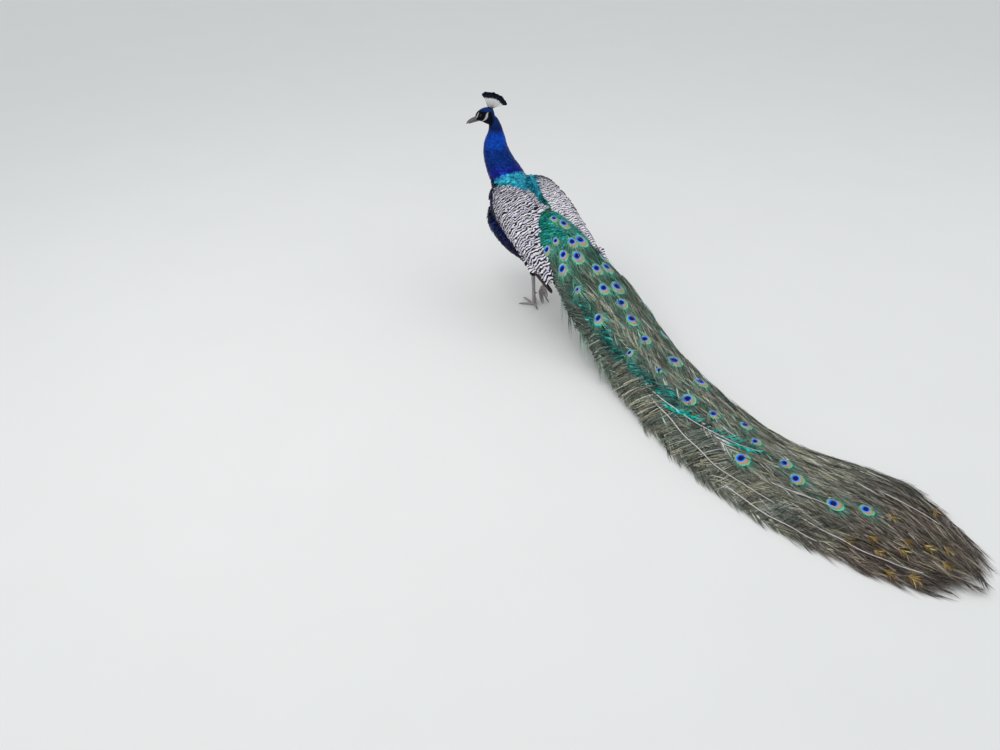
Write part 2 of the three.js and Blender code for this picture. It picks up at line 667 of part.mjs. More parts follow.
// Train in five lengths, clear of the body and wings.
const wings = Object.values(WING_STANCE).flatMap((stance) => [
  wingPiece(stance, 0.5, 1, { ends: true, rows: 6, columns: FLIGHT_TIPS * 2, grow: 1.2 }),
  primaries(stance, 2.5),
]);
const behindCut = (cut) => cut + TRAIN_CUT_HALF;
const beforeCut = (cut) => cut - TRAIN_CUT_HALF;
const [firstCut, secondCut, thirdCut, lastCut] = TRAIN_CUTS;
const trainRoot = [grownBody, ...wings].reduce(
  (rest, cutter) => rest.subtract(cutter),
  trainPiece(0, beforeCut(firstCut)),
);
addPart("train_root", trainRoot, COLOUR.emerald);
addPart("train_upper", trainPiece(behindCut(firstCut), beforeCut(secondCut)), COLOUR.bronze);
addPart("train_middle", trainPiece(behindCut(secondCut), beforeCut(thirdCut)), COLOUR.bronze);
addPart("train_lower", trainPiece(behindCut(thirdCut), beforeCut(lastCut)), COLOUR.bronze);
addPart("train_end", trainPiece(behindCut(lastCut), 1), COLOUR.bronze);
addPart("tail", tailFan().subtract(grownBody), COLOUR.brown);

// Legs, feet and claws.
const eachToe = (sizes, shape) => Object.entries(sizes).map(([digit, size]) => [digit, shape(size)]);
const TOES = {
  left: eachToe(PLANTED_TOES, plantedToe),
  right: [...eachToe(HANGING_TOES, hangingToe), ["hind", HIND_TOE_RIGHT]],
};
const FOOT_JOIN = 9; // above the ball of the foot, where the shank begins
const SPUR_AT = 0.66; // share of the way down the shank
for (const [name, leg] of Object.entries(LEGS)) {
  addPart(`thigh_${name}`, thigh(leg), COLOUR.brown);
  const toes = TOES[name];
  const pad = ball(vec(...leg.ball), PAD_RADIUS);
  const solidFoot = union(pad, ...toes.map(([, points]) => toe(points))).intersect(aboveFloor);
  const foot = toes.reduce((rest, [, points]) => rest.subtract(claw(points, GAP)), solidFoot);
  addPart(`foot_${name}`, foot, COLOUR.shank);
  const upper = vec(...leg.ankle).sub(vec(...leg.ball)).normalize();
  const footCut = vec(...leg.ball).addScaledVector(upper, FOOT_JOIN);
  const grownFoot = foot.add(ball(vec(...leg.ball), PAD_RADIUS + GAP));
  const bare = shank(leg).subtract(thigh(leg, GAP)).subtract(grownFoot).intersect(halfSpace(footCut, upper));
  const spurRoot = leaning(leg.ankle, leg.ball, SPUR_AT);
  const spurTip = spurRoot.clone().add(vec(name === "left" ? -6 : 6, 21, 7));
  const spur = taper([spurRoot, spurRoot.clone().lerp(spurTip, 0.5), spurTip], [3, 2.4, 0.8]);
  addPart(`shank_${name}`, bare, COLOUR.shank);
  addPart(`spur_${name}`, spur.subtract(shankSleeve(leg)), COLOUR.claw);
  for (const [digit, points] of toes)
    addPart(`claw_${name}_${digit}`, claw(points).intersect(aboveFloor), COLOUR.claw);
}

// The origin is the middle of the bird's footprint, at the soles' level.
const bounds = new THREE.Box3().setFromObject(root, true);
root.position.set(-(bounds.min.x + bounds.max.x) / 2, -(bounds.min.y + bounds.max.y) / 2, -bounds.min.z);

export default root;
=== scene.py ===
"""A life-size peacock in mid step, dressed over its solid frame: one skin, every feather a thin vane,
and a train of loose barbs with eyes. Lengths are metres, or millimetres where a comment says so."""

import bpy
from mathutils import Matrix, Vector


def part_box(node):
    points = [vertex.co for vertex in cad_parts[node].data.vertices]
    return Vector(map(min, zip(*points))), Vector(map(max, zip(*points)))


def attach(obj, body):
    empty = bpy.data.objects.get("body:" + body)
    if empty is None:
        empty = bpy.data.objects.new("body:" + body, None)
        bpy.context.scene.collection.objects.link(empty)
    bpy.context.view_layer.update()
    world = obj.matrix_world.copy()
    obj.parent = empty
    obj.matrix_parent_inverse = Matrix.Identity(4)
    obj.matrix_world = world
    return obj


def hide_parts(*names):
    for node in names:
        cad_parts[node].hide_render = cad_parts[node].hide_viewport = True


bl_info = {
    "name": "Peacock",
    "version": (1, 0, 0),
    "blender": (4, 5, 0),
    "location": "View3D > Sidebar > Peacock",
    "description": "Dresses the solid frame of a life-size peacock in skin and feathers",
    "category": "Add Mesh",
}

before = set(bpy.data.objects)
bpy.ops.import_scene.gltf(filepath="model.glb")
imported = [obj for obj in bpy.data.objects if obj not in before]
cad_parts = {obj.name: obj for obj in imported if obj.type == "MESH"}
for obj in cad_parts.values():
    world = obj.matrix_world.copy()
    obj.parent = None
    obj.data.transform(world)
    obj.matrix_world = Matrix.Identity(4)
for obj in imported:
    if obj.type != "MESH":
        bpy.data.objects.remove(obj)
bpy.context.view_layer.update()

import math

import bmesh
import bpy
import numpy as np
from bpy.props import FloatProperty, FloatVectorProperty, IntProperty, PointerProperty
from mathutils import Matrix, Vector
from mathutils.bvhtree import BVHTree

MM = 0.001

# ------------------------------------------------------------------ the bird's own axes
HEAD_YAW = math.radians(56)  # turned to the bird's left
HEAD_PITCH = math.radians(15)  # bill down
HEAD_STRETCH = 1.06  # head lengths along the bill are this much longer
HEAD_CENTRE = np.array([75, -328, 676]) * MM
BILL_WARD = np.array(
    [
        math.sin(HEAD_YAW) * math.cos(HEAD_PITCH),
        -math.cos(HEAD_YAW) * math.cos(HEAD_PITCH),
        -math.sin(HEAD_PITCH),
    ]
)
HEAD_LEFT = np.array([math.cos(HEAD_YAW), math.sin(HEAD_YAW), 0.0])
HEAD_UP = np.cross(BILL_WARD, HEAD_LEFT)
EYE_PLACE = (9, 12.2, 3.5)  # forward, to the side and up from the head's centre, in mm
EYE_RADIUS = 6.6 * MM


def box_middle(node):
    """Middle of a node's box."""
    low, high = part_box(node)
    return (np.array(low) + np.array(high)) / 2


# Where the bird's own origin, on the floor between its hips, lies in the frame.
EYES_MIDDLE = (box_middle("eye_left") + box_middle("eye_right")) / 2
EYES_FROM_HEAD = BILL_WARD * EYE_PLACE[0] * HEAD_STRETCH * MM + HEAD_UP * EYE_PLACE[2] * MM
HIPS = EYES_MIDDLE - HEAD_CENTRE - EYES_FROM_HEAD
HIPS[2] = 0.0


def bird(x, y, z):
    """A place in the frame from millimetres left, tailward and up in the bird's own axes."""
    return HIPS + np.array([x, y, z]) * MM


def on_head(forward, left, up):
    """A place in the frame from millimetres in the head's own axes."""
    offset = BILL_WARD * forward * HEAD_STRETCH + HEAD_LEFT * left + HEAD_UP * up
    return HIPS + HEAD_CENTRE + offset * MM


def bird_axes(points):
    """How far left, tailward and up points are in the bird's own axes, in millimetres."""
    return ((points - HIPS) / MM).T


def head_axes(points):
    """How far forward, left and up of the head's centre points are, in millimetres."""
    offset = (points - HIPS - HEAD_CENTRE) / MM
    return offset @ BILL_WARD / HEAD_STRETCH, offset @ HEAD_LEFT, offset @ HEAD_UP


# ------------------------------------------------------------------ small helpers
def smooth(value, low, high):
    """0 below low, 1 above high, and a soft step between them."""
    t = np.clip((np.asarray(value, float) - low) / (high - low), 0, 1)
    return t * t * (3 - 2 * t)


def unit(a):
    """Vectors at length 1."""
    return a / np.maximum(np.linalg.norm(a, axis=-1, keepdims=True), 1e-9)


def along_surface(vectors, normals):
    """Directions turned to lie in a surface with these normals."""
    return unit(vectors - normals * (vectors * normals).sum(1)[:, None])


def blend(a, b, share):
    """From a to b by a share for each point."""
    share = np.asarray(share)[..., None]
    return a * (1 - share) + b * share


def lerp(a, b, t):
    """From a to b as t goes from 0 to 1."""
    return a + (b - a) * t


def ramp(value, keys, values):
    """Straight stretches between keys, for numbers or colours."""
    values = np.asarray(values, float)
    if values.ndim == 1:
        return np.interp(value, keys, values)
    return np.stack([np.interp(value, keys, values[:, k]) for k in range(values.shape[1])], -1)


def link(name, mesh, material=None):
    """Puts a mesh in the scene as an object."""
    obj = bpy.data.objects.new(name, mesh)
    bpy.context.scene.collection.objects.link(obj)
    if material:
        mesh.materials.clear()
        mesh.materials.append(material)
    return obj


def finish_piece(obj, replaced=()):
    """Says what body a piece rides on, and hides the nodes that it replaces."""
    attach(obj, "root")
    if replaced:
        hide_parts(*replaced)
    return obj


def fix_order(obj):
    """Puts an object's faces in a fixed order, as Blender's own can change from run to run."""
    old = obj.data
    points, _, _ = mesh_arrays(old)
    faces = []
    for polygon in old.polygons:
        face = list(polygon.vertices)
        first = face.index(min(face))
        faces.append(face[first:] + face[:first])
    obj.data = bpy.data.meshes.new(obj.name)
    obj.data.from_pydata(points, [], sorted(faces))
    bpy.data.meshes.remove(old)


def settle(obj):
    """Applies an object's modifiers."""
    graph = bpy.context.evaluated_depsgraph_get()
    mesh = bpy.data.meshes.new_from_object(obj.evaluated_get(graph))
    old = obj.data
    obj.modifiers.clear()
    obj.data = mesh
    bpy.data.meshes.remove(old)
    fix_order(obj)
    return obj


def merge_solids(obj, side, rounds):
    """Turns overlapping solids into one soft surface, with faces of one size."""
    remesh = obj.modifiers.new("Merge", "REMESH")
    remesh.mode = "VOXEL"
    remesh.voxel_size = side
    soften = obj.modifiers.new("Soften", "SMOOTH")
    soften.factor = 0.5
    soften.iterations = rounds
    return settle(obj)


def round_off(bm, rounds):
    """Rounds a bmesh by moving each corner halfway to the middle of its neighbours."""
    for _ in range(rounds):
        bmesh.ops.smooth_vert(
            bm, verts=bm.verts, factor=0.5, use_axis_x=True, use_axis_y=True, use_axis_z=True
        )


def node_bmesh(*nodes, swell=0.0):
    """The named CAD solids as one bmesh with their corners merged, each grown by swell."""
    whole = bmesh.new()
    for node in nodes:
        part = bmesh.new()
        part.from_mesh(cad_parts[node].data)
        bmesh.ops.remove_doubles(part, verts=part.verts, dist=0.01 * MM)
        part.normal_update()
        for v in part.verts:
            v.co += v.normal * swell
        mesh = bpy.data.meshes.new("part")
        part.to_mesh(mesh)
        part.free()
        whole.from_mesh(mesh)
        bpy.data.meshes.remove(mesh)
    whole.verts.index_update()
    return whole


def to_object(bm, name, material=None, smooth_faces=True):
    """Turns a bmesh into an object and frees it."""
    mesh = bpy.data.meshes.new(name)
    bm.to_mesh(mesh)
    bm.free()
    if smooth_faces:
        mesh.shade_smooth()
    return link(name, mesh, material)


class Surface:
    """A mesh that feathers are laid on."""

    def __init__(self, points, faces):
        self.tree = BVHTree.FromPolygons(points.tolist(), faces.tolist())

    @classmethod
    def of_nodes(cls, *nodes):
        """The surface of the named CAD solids."""
        bm = node_bmesh(*nodes)
        points = np.array([v.co for v in bm.verts])
        faces = np.array([[v.index for v in f.verts] for f in bm.faces])
        bm.free()
        return cls(points, faces)

    def nearest(self, points):
        """Nearest places on the surface, with their normals and distances."""
        found = [self.tree.find_nearest(p) for p in points.tolist()]
        return [np.array([f[k] for f in found]) for k in (0, 1, 3)]


def mesh_arrays(mesh):
    """Points, triangles and point normals of a mesh."""
    mesh.calc_loop_triangles()
    points = np.zeros(len(mesh.vertices) * 3)
    mesh.vertices.foreach_get("co", points)
    normals = np.zeros(len(mesh.vertices) * 3)
    mesh.vertices.foreach_get("normal", normals)
    triangles = np.zeros(len(mesh.loop_triangles) * 3, int)
    mesh.loop_triangles.foreach_get("vertices", triangles)
    return points.reshape(-1, 3), triangles.reshape(-1, 3), normals.reshape(-1, 3)


def set_colour(mesh, values):
    """Gives each point of a mesh its plumage colour."""
    opaque = np.concatenate([np.clip(values, 0, 1), np.ones((len(values), 1))], 1)
    layer = mesh.attributes.new("plumage", "FLOAT_COLOR", "POINT")
    layer.data.foreach_set("color", opaque.astype(np.float32).ravel())


def set_values(mesh, name, values):
    """Gives each point of a mesh a number, under a name."""
    layer = mesh.attributes.new(name, "FLOAT", "POINT")
    layer.data.foreach_set("value", np.asarray(values, np.float32))


TUFT_PATCH = 0.003  # a tuft's patch on the bake map


class Flock:
    """Many small shapes joined in one mesh, with their colours and maps."""

    def __init__(self):
        self.points, self.faces, self.colours = [], [], []
        self.vane, self.bake, self.extra = [], [], []
        self.count = 0

    def add_vanes(self, points, shape, colours, bake, extra=None):
        """Adds feathers whose points follow a vane's shape."""
        table, faces = shape
        vane = np.stack([table[:, 1] * table[:, 2] * 0.5 + 0.5, table[:, 0]], 1)
        self.add(points, faces, colours, vane, bake, extra)

    def add(self, points, faces, colours, vane, bake, extra=None, patch=TUFT_PATCH):
        """Adds n shapes: points, colours (n, k, 3), faces (m, 3) of one, vane (n, k, 2), bake (n, 2)."""
        n, k, _ = points.shape
        if n == 0:
            return
        starts = self.count + k * np.arange(n)
        self.points.append(points.reshape(-1, 3))
        self.faces.append((faces[None] + starts[:, None, None]).reshape(-1, 3))
        self.colours.append(np.broadcast_to(colours, points.shape).reshape(-1, 3))
        vane = np.broadcast_to(vane, (n, k, 2))
        self.vane.append(vane.reshape(-1, 2))
        self.bake.append((bake[:, None, :] + (vane - 0.5) * patch).reshape(-1, 2))
        self.extra.append(np.broadcast_to(0.0 if extra is None else extra, (n, k)).reshape(-1))
        self.count += n * k

    def build(self, name, material, slot, replaced=(), extra_name=None):
        """Joins all that was added in one finished piece."""
        points = np.concatenate(self.points)
        faces = np.concatenate(self.faces)
        mesh = bpy.data.meshes.new(name)
        mesh.vertices.add(len(points))
        mesh.vertices.foreach_set("co", points.astype(np.float32).ravel())
        mesh.loops.add(faces.size)
        mesh.loops.foreach_set("vertex_index", faces.astype(np.int32).ravel())
        mesh.polygons.add(len(faces))
        mesh.polygons.foreach_set("loop_start", np.arange(0, faces.size, 3, dtype=np.int32))
        mesh.update(calc_edges=True)
        mesh.shade_smooth()
        set_colour(mesh, np.concatenate(self.colours))
        corners = faces.ravel()
        for layer_name, values in (("OFBake", self.bake), ("vane", self.vane)):
            layer = mesh.uv_layers.new(name=layer_name)
            layer.data.foreach_set("uv", np.concatenate(values)[corners].astype(np.float32).ravel())
        if extra_name:
            set_values(mesh, extra_name, np.concatenate(self.extra))
        return finish_piece(link(name, mesh, material), replaced)


def quads(first, step, around):
    """Two triangles for each cell between a row of points and the next row, step further on."""
    faces = []
    for a, b in around:
        a, b = first + a, first + b
        faces += [(a, b, b + step), (a, b + step, a + step)]
    return faces


def vane_shape(widths, stations, columns):
    """A pointed vane: rows of (u along, v across from -1 to 1, half width), and its triangles."""
    rows = []
    for u, width in zip(stations[:-1], widths[:-1]):
        rows += [(u, 2 * j / columns - 1, width) for j in range(columns + 1)]
    rows.append((stations[-1], 0.0, 0.0))
    step = columns + 1
    last = (len(stations) - 2) * step
    beside = [(j, j + 1) for j in range(columns)]
    faces = [face for i in range(0, last, step) for face in quads(i, step, beside)]
    tip = len(rows) - 1
    faces += [(last + j, last + j + 1, tip) for j in range(columns)]
    return np.array(rows), np.array(faces)


def lay_vanes(surface, roots, normals, along, length, half, low, high, shape, arch=0.25):
    """Vanes lying on a surface from their roots. Their height over it goes from low to high."""
    table = shape[0]
    stations, where = np.unique(table[:, 0], return_inverse=True)
    side = unit(np.cross(along, normals))
    centres = np.zeros((len(roots), len(stations), 3))
    ups = np.zeros_like(centres)
    for i, u in enumerate(stations):
        reach = roots + along * (length * u)[:, None]
        places, nearest_normals, _ = surface.nearest(reach)
        up = unit(nearest_normals * 0.5 + normals * 0.5)
        height = lerp(low, high, u**1.3)
        centres[:, i] = places + up * height[:, None]
        ups[:, i] = up
    v = table[:, 1]
    half = half[:, None] * table[None, :, 2]
    spread, droop = (half * v)[..., None], (half * arch * v**2)[..., None]
    return centres[:, where] + side[:, None] * spread - ups[:, where] * droop


def scatter(points, triangles, normals, spacing, rng):
    """Even but irregular places on a mesh, spacing apart, with their normals."""
    corners = points[triangles]
    sides = corners[:, 1] - corners[:, 0], corners[:, 2] - corners[:, 0]
    areas = np.linalg.norm(np.cross(*sides), axis=1) / 2
    gaps = spacing[triangles].mean(1)
    share = np.where(gaps > 0, areas / np.maximum(gaps, 1e-4) ** 2, 0)
    count = int(share.sum() * 3.2)
    pick = rng.choice(len(triangles), count, p=share / share.sum())
    a, b = rng.random(count), rng.random(count)
    flip = a + b > 1
    a[flip], b[flip] = 1 - a[flip], 1 - b[flip]
    weights = np.stack([1 - a - b, a, b], 1)[..., None]
    places = (corners[pick] * weights).sum(1)
    ups = unit((normals[triangles[pick]] * weights).sum(1))
    apart = (spacing[triangles[pick]] * weights[..., 0]).sum(1) * 0.8
    level = np.round(np.log2(apart) * 2) / 2
    cell = 2.0**level
    keys = np.floor(places / cell[:, None]).astype(int)
    around = [(dx, dy, dz) for dx in (-1, 0, 1) for dy in (-1, 0, 1) for dz in (-1, 0, 1)]
    taken, kept = {}, []
    for i, ((x, y, z), step) in enumerate(zip(keys.tolist(), level.tolist())):
        near = [j for dx, dy, dz in around for j in taken.get((step, x + dx, y + dy, z + dz), ())]
        if near and np.min(((places[near] - places[i]) ** 2).sum(1)) < apart[i] ** 2:
            continue
        taken.setdefault((step, x, y, z), []).append(i)
        kept.append(i)
    return places[kept], ups[kept]


# ------------------------------------------------------------------ the lie and colour of the plumage
# The way feathers point, from the bill over the neck and back, and down each leg, in mm.
LIE_PATHS = [
    [
        (130, -365, 652), (75, -328, 674), (44, -320, 645), (31, -315, 605), (33, -312, 553),
        (24, -290, 484), (8, -240, 410), (0, -150, 345), (0, -40, 305), (0, 85, 272), (0, 246, 221),
    ],
    [(66, -50, 250), (44, -20, 150)],
    [(-64, -48, 252), (-36, 30, 170)],
]
WING_NODES = ("wing_left", "flight_left", "wing_right", "flight_right")
BODY_NODES = ("head", "neck_upper", "neck_lower", "trunk")
THIGH_NODES = ("thigh_left", "thigh_right")
TRAIN_NODES = ("train_root", "train_upper", "train_middle", "train_lower", "train_end")


def lie_at(points, normals):
    """The way the feathers point at places on the body."""
    total = np.zeros_like(points)
    for path in LIE_PATHS:
        stops = np.array([bird(*p) for p in path])
        for a, b in zip(stops[:-1], stops[1:]):
            ab = b - a
            t = np.clip(((points - a) @ ab) / (ab @ ab), 0, 1)
            apart = np.linalg.norm(points - a - t[:, None] * ab, axis=1)
            total += unit(ab) / np.maximum(apart, 4 * MM)[:, None] ** 4
    return along_surface(unit(total), normals)


def wing_lie(points, normals):
    """The way a folded wing's feathers point: backward, sinking, and outward near the back."""
    x, y, _ = (points - HIPS).T
    inner = 1 - smooth(np.abs(x), 0.03, 0.11)
    outward = np.sign(x) * (0.42 * inner * smooth(y, -0.16, 0.0))
    sinking = lerp(0.12, 0.5, smooth(y, -0.24, 0.0))
    return along_surface(np.stack([outward, np.ones(len(x)), -sinking], 1), normals)


# How far back the mantle reaches over trunk and wings: place to the left, and tailward, in mm.
MANTLE_REAR = (
    (-97, -59, -38, -26, -23, -17, -13, 20, 40, 68, 92),
    (-222, -172, -118, -80, -34, -34, -165, -165, -176, -242, -280),
)
# The lower edge of the left wing: place tailward, and height, in mm.
WING_HEM = (
    (-274, -244, -222, -198, -175, -145, -68, 15, 70, 105),
    (430, 418, 402, 380, 354, 335, 305, 281, 254, 240),
)
# The back edge of the black face, from the throat up to the forehead: height on the head, and distance
# forward, in mm.
FACE_EDGE = ((-70, -45, -30, 4, 10, 15, 19), (4, -18, -29, -31, -20, 5, 34))
# White bare skin on each side of the face: (forward, up, half width) in the head's axes, in mm.
BROW_STRIPE = [(37, -13, 0.8), (30, -6.5, 1.3), (24, 0, 1.6), (19, 7, 1.6), (14, 12.5, 0.9)]
CHEEK_PATCH = [
    (-17, 7, 1.0), (-13, 1, 3.0), (-10, -5, 4.2), (-6, -11, 3.3),
    (0, -15, 1.9), (7, -18.5, 1.4), (15, -21, 0.7),
]
# Colours of the neck from its base to the crown, each with its height in mm.
NECK_TONES = {
    425: "breast", 445: "dusk", 462: "violet", 480: "violet", 505: "deep_blue",
    545: "deep_blue", 580: "blue", 600: "blue", 625: "dusk", 655: "cobalt",
}


def past_neck(x, y, z):
    """How far a place lies behind the slanting line where the neck ends on the back, in mm."""
    return (y + 238) * 0.72 - (z - 452) * 0.69 + 10 * np.abs(x) / 90


def mantle_share(points):
    """1 where the teal mantle covers the back and the fronts of the wings."""
    x, y, z = bird_axes(points)
    rear = ramp(x, *MANTLE_REAR) + 5 * np.sin(x / 4.1) + 3 * np.sin(x / 2.3 + 1)
    return smooth(past_neck(x, y, z), -5, 5) * (1 - smooth(y - rear, -3, 3)) * smooth(z, 365, 385)


def flank_share(points):
    """1 where the dark breast and flank show, below the hem of the left wing and at its front."""
    x, y, z = bird_axes(points)
    hem = ramp(y, *WING_HEM) + 2.5 * np.sin(y / 6)
    front = 1 - smooth(y, -279, -274)
    return np.maximum(1 - smooth(z - hem, -3, 3), front) * smooth(x, 20, 40)


def wing_coat_share(points, on_wing):
    """1 where barred feathers grow: on the wings, and between them behind the mantle."""
    x, y, z = bird_axes(points)
    between = smooth(x, -17, -13) * (1 - smooth(x, 30, 40))
    between = between * smooth(y, -215, -205) * (1 - smooth(y, -12, 0)) * smooth(z, 345, 355)
    flank = flank_share(points) * smooth(y, -400, -300)
    return np.maximum(on_wing, between) * (1 - mantle_share(points)) * (1 - flank)


def body_colour(points, c):
    """Plumage colour of head, neck, trunk and thighs."""
    x, y, z = bird_axes(points)
    neck = ramp(z, list(NECK_TONES), [c[tone] for tone in NECK_TONES.values()])
    beside = smooth(np.abs(x - 22) - 0.2 * (y + 300), 38, 62) * (1 - smooth(z, 480, 520))
    neck = blend(neck, c["dusk"], 0.8 * beside)
    teal = blend(c["teal"], c["emerald"], 0.6 * smooth(y, -130, -60))
    shoulder = smooth(np.abs(x), 58, 66) * (1 - smooth(z - ramp(y, *WING_HEM), 14, 22))
    low_edge = 345 + 70 * smooth(-y, 195, 262) + 50 * smooth(-x, 60, 80)
    back = smooth(past_neck(x, y, z), -5, 5) * smooth(z - low_edge, 0, 20) * smooth(y, -296, -288)
    tint = blend(neck, teal, back * (1 - shoulder))
    low = blend(c["breast"], c["belly"], 1 - smooth(z, 215, 300))
    # Painted sheen: a deep blue gleam on the flank.
    gleam = np.exp(-(((y + 150) / 60) ** 2) - ((z - 305) / 22) ** 2)
    low = blend(low, c["deep_blue"], gleam * (0.45 + 0.35 * np.sin(y / 7) * np.sin(z / 5)))
    flank = (1 - smooth(z + 0.35 * (y + 300), 385, 430)) * (1 - back * smooth(z, 350, 380))
    tint = blend(tint, low, np.maximum(flank, flank_share(points) * (1 - smooth(z, 420, 440))))
    rump = smooth(y, -60, -10) * smooth(z, 300, 330)
    tint = blend(tint, c["emerald"], rump)
    forward, _, up = head_axes(points)
    face = smooth(forward - ramp(up, *FACE_EDGE), -3, 3) * smooth(z, 592, 604)
    tint = blend(tint, c["face"], face)
    return blend(tint, c["white"], white_share(points))


def white_share(points):
    """1 on the white bare skin over and under each eye."""
    forward, left, up = head_axes(points)
    white = np.maximum(stripe(forward, up, BROW_STRIPE), stripe(forward, up, CHEEK_PATCH))
    return white * smooth((points - HIPS)[:, 2], 0.592, 0.604) * smooth(np.abs(left), 4, 7)


def stripe(forward, up, path):
    """1 inside a stripe of changing width, 0 outside."""
    inside = np.zeros(len(forward))
    place = np.stack([forward, up], 1)
    for a, b in zip(path[:-1], path[1:]):
        start, end = np.array(a[:2]), np.array(b[:2])
        ab = end - start
        t = np.clip(((place - start) @ ab) / (ab @ ab), 0, 1)
        apart = np.linalg.norm(place - start - t[:, None] * ab, axis=1)
        width = lerp(a[2], b[2], t)
        inside = np.maximum(inside, 1 - smooth(apart - width, -0.5, 0.9))
    return inside


def wing_colour(points, c):
    """Pale ground colour of the barred wings; the bars are drawn by their material."""
    x, y, _ = bird_axes(points)
    pale = blend(c["wing"], c["wing_pale"], smooth(-x, -5, 5))
    brown = np.exp(-(((x + 97) / 14) ** 2) - ((y + 196) / 16) ** 2)
    return blend(pale, c["thigh"] * 0.4, 0.8 * brown)


def bar_phase(points):
    """How many bars lie between the shoulder and a place on the wing."""
    x, y, z = bird_axes(points)
    back = y - 0.38 * z + 264 + 0.38 * 420
    right = smooth(-x, -5, 5)
    fine = lerp(10.4, 8.0, right)
    growth = lerp(0.009, 0.006, right)
    return np.log1p(growth * np.maximum(back, -20) / fine) / growth


# ------------------------------------------------------------------ materials
class Nodes:
    """A short way to wire a node material."""

    def __init__(self, name):
        self.material = bpy.data.materials.new(name)
        self.material.use_nodes = True
        self.tree = self.material.node_tree
        self.shader = self.tree.nodes["Principled BSDF"]

    def add(self, kind, inputs=None, **settings):
        """Adds a node, and gives back its only output, or the node if it has more."""
        node = self.tree.nodes.new(kind)
        for key, value in settings.items():
            setattr(node, key, value)
        for key, value in (inputs or {}).items():
            self.feed(node.inputs[key], value)
        return node.outputs[0] if len(node.outputs) == 1 else node

    def feed(self, socket, value):
        """Links a socket to another, or sets its value."""
        if isinstance(value, bpy.types.NodeSocket):
            self.tree.links.new(value, socket)
        else:
            socket.default_value = value

    def math(self, operation, *values):
        """One step of a sum, with a value or a socket for each input."""
        return self.add("ShaderNodeMath", dict(enumerate(values)), operation=operation)

    def mix(self, share, a, b, mode="MIX"):
        """Colour a, with colour b over it by a share."""
        sockets = {0: share, 6: a, 7: b}
        return self.add("ShaderNodeMix", sockets, data_type="RGBA", blend_type=mode).outputs[2]

    def dimmed(self, share, base, tint):
        """A colour as it is where share is 1, and times a tint where share is 0."""
        return self.mix(share, self.mix(1.0, base, (*tint, 1), "MULTIPLY"), base)

    def between(self, value, low, high):
        """0 below low, 1 above high."""
        limits = {"Value": value, "From Min": low, "From Max": high}
        node = self.add("ShaderNodeMapRange", limits, interpolation_type="SMOOTHSTEP")
        return node.outputs["Result"]

    def noise(self, vector, scale, detail):
        """Soft irregular patches from 0 to 1."""
        node = self.add("ShaderNodeTexNoise", {"Vector": vector, "Scale": scale, "Detail": detail})
        return node.outputs["Fac"]

    def attribute(self, name):
        """Values that the mesh's points hold under a name."""
        return self.add("ShaderNodeAttribute", attribute_name=name)

    def object_place(self):
        """The place of a point, in metres."""
        return self.add("ShaderNodeTexCoord").outputs["Object"]

    def bump(self, height, strength, distance):
        """Makes the surface rough by a height."""
        inputs = {"Height": height, "Strength": strength, "Distance": distance}
        node = self.add("ShaderNodeBump", inputs)
        self.tree.links.new(node, self.shader.inputs["Normal"])

    def finish(self, base, **constants):
        """Sets the shader's colour and its constants, and gives back the material."""
        self.feed(self.shader.inputs["Base Color"], base)
        for key, value in constants.items():
            self.shader.inputs[key.replace("_", " ")].default_value = value
        return self.material


def rgba(c):
    """A colour as a shader's socket takes it."""
    return (*[float(v) for v in c[:3]], 1.0)


def vane_place(n):
    """Where a point lies on its feather: across it and along it, both from 0 to 1."""
    split = n.add("ShaderNodeSeparateXYZ", {0: n.add("ShaderNodeUVMap", uv_map="vane")})
    return split.outputs[0], split.outputs[1]


def barbs(n, count):
    """Fine ridges from a vane's shaft to its edges, with the distances from the shaft and along it."""
    side, along = vane_place(n)
    aside = n.math("ABSOLUTE", n.math("SUBTRACT", side, 0.5))
    turn = n.math("SUBTRACT", along, n.math("MULTIPLY", aside, 0.5))
    wave = n.math("SINE", n.math("MULTIPLY", turn, 2 * math.pi * count))
    return n.math("MULTIPLY_ADD", wave, 0.5, 0.5), aside, along


def contour_material(name, metallic, roughness, barb_count):
    """Close body feathers: the piece's own colours, with barbs, and a root darkened as painted shade
    where the next feather covers it, so that the rim is lighter.
    """
    n = Nodes(name)
    ridge, _, along = barbs(n, barb_count)
    base = n.attribute("plumage").outputs["Color"]
    # Painted shade: each feather is darker toward its root, under the feather that overlaps it.
    dark = n.dimmed(n.between(along, -0.1, 0.75), base, (0.35, 0.35, 0.4))
    grain = n.noise(n.object_place(), 900.0, 3.0)
    speckle = n.mix(0.7, dark, n.dimmed(n.between(grain, 0.35, 0.7), dark, (0.3, 0.3, 0.35)))
    n.bump(ridge, 0.35, 0.0004)
    return n.finish(speckle, Metallic=metallic, Roughness=roughness, Specular_IOR_Level=0.12)


def barred_material(name, low=0.0):
    """Wing feathers: a pale ground crossed by wavy black bars, thinner where low is more than 0."""
    n = Nodes(name)
    c = bpy.context.scene.peacock_colours
    ridge, aside, _ = barbs(n, 16)
    ground = n.attribute("plumage").outputs["Color"]
    place = n.object_place()
    wobble = n.noise(place, 42.0, 2.0)
    fine = n.noise(place, 230.0, 2.0)
    phase = n.attribute("phase").outputs["Fac"]
    bent = n.math("ADD", phase, n.math("MULTIPLY", n.math("SUBTRACT", wobble, 0.5), 2.2))
    chevron = n.math("ADD", bent, n.math("MULTIPLY", aside, -0.35))
    wave = n.math("SINE", n.math("MULTIPLY", chevron, 2 * math.pi))
    ragged = n.math("ADD", wave, n.math("MULTIPLY", n.math("SUBTRACT", fine, 0.5), 1.5))
    tone = n.dimmed(n.between(fine, 0.3, 0.75), ground, (0.8, 0.77, 0.79))
    base = n.mix(n.between(ragged, low, low + 0.2), tone, rgba(c.bar))
    n.bump(ridge, 0.3, 0.0004)
    return n.finish(base, Roughness=0.62, Specular_IOR_Level=0.15)


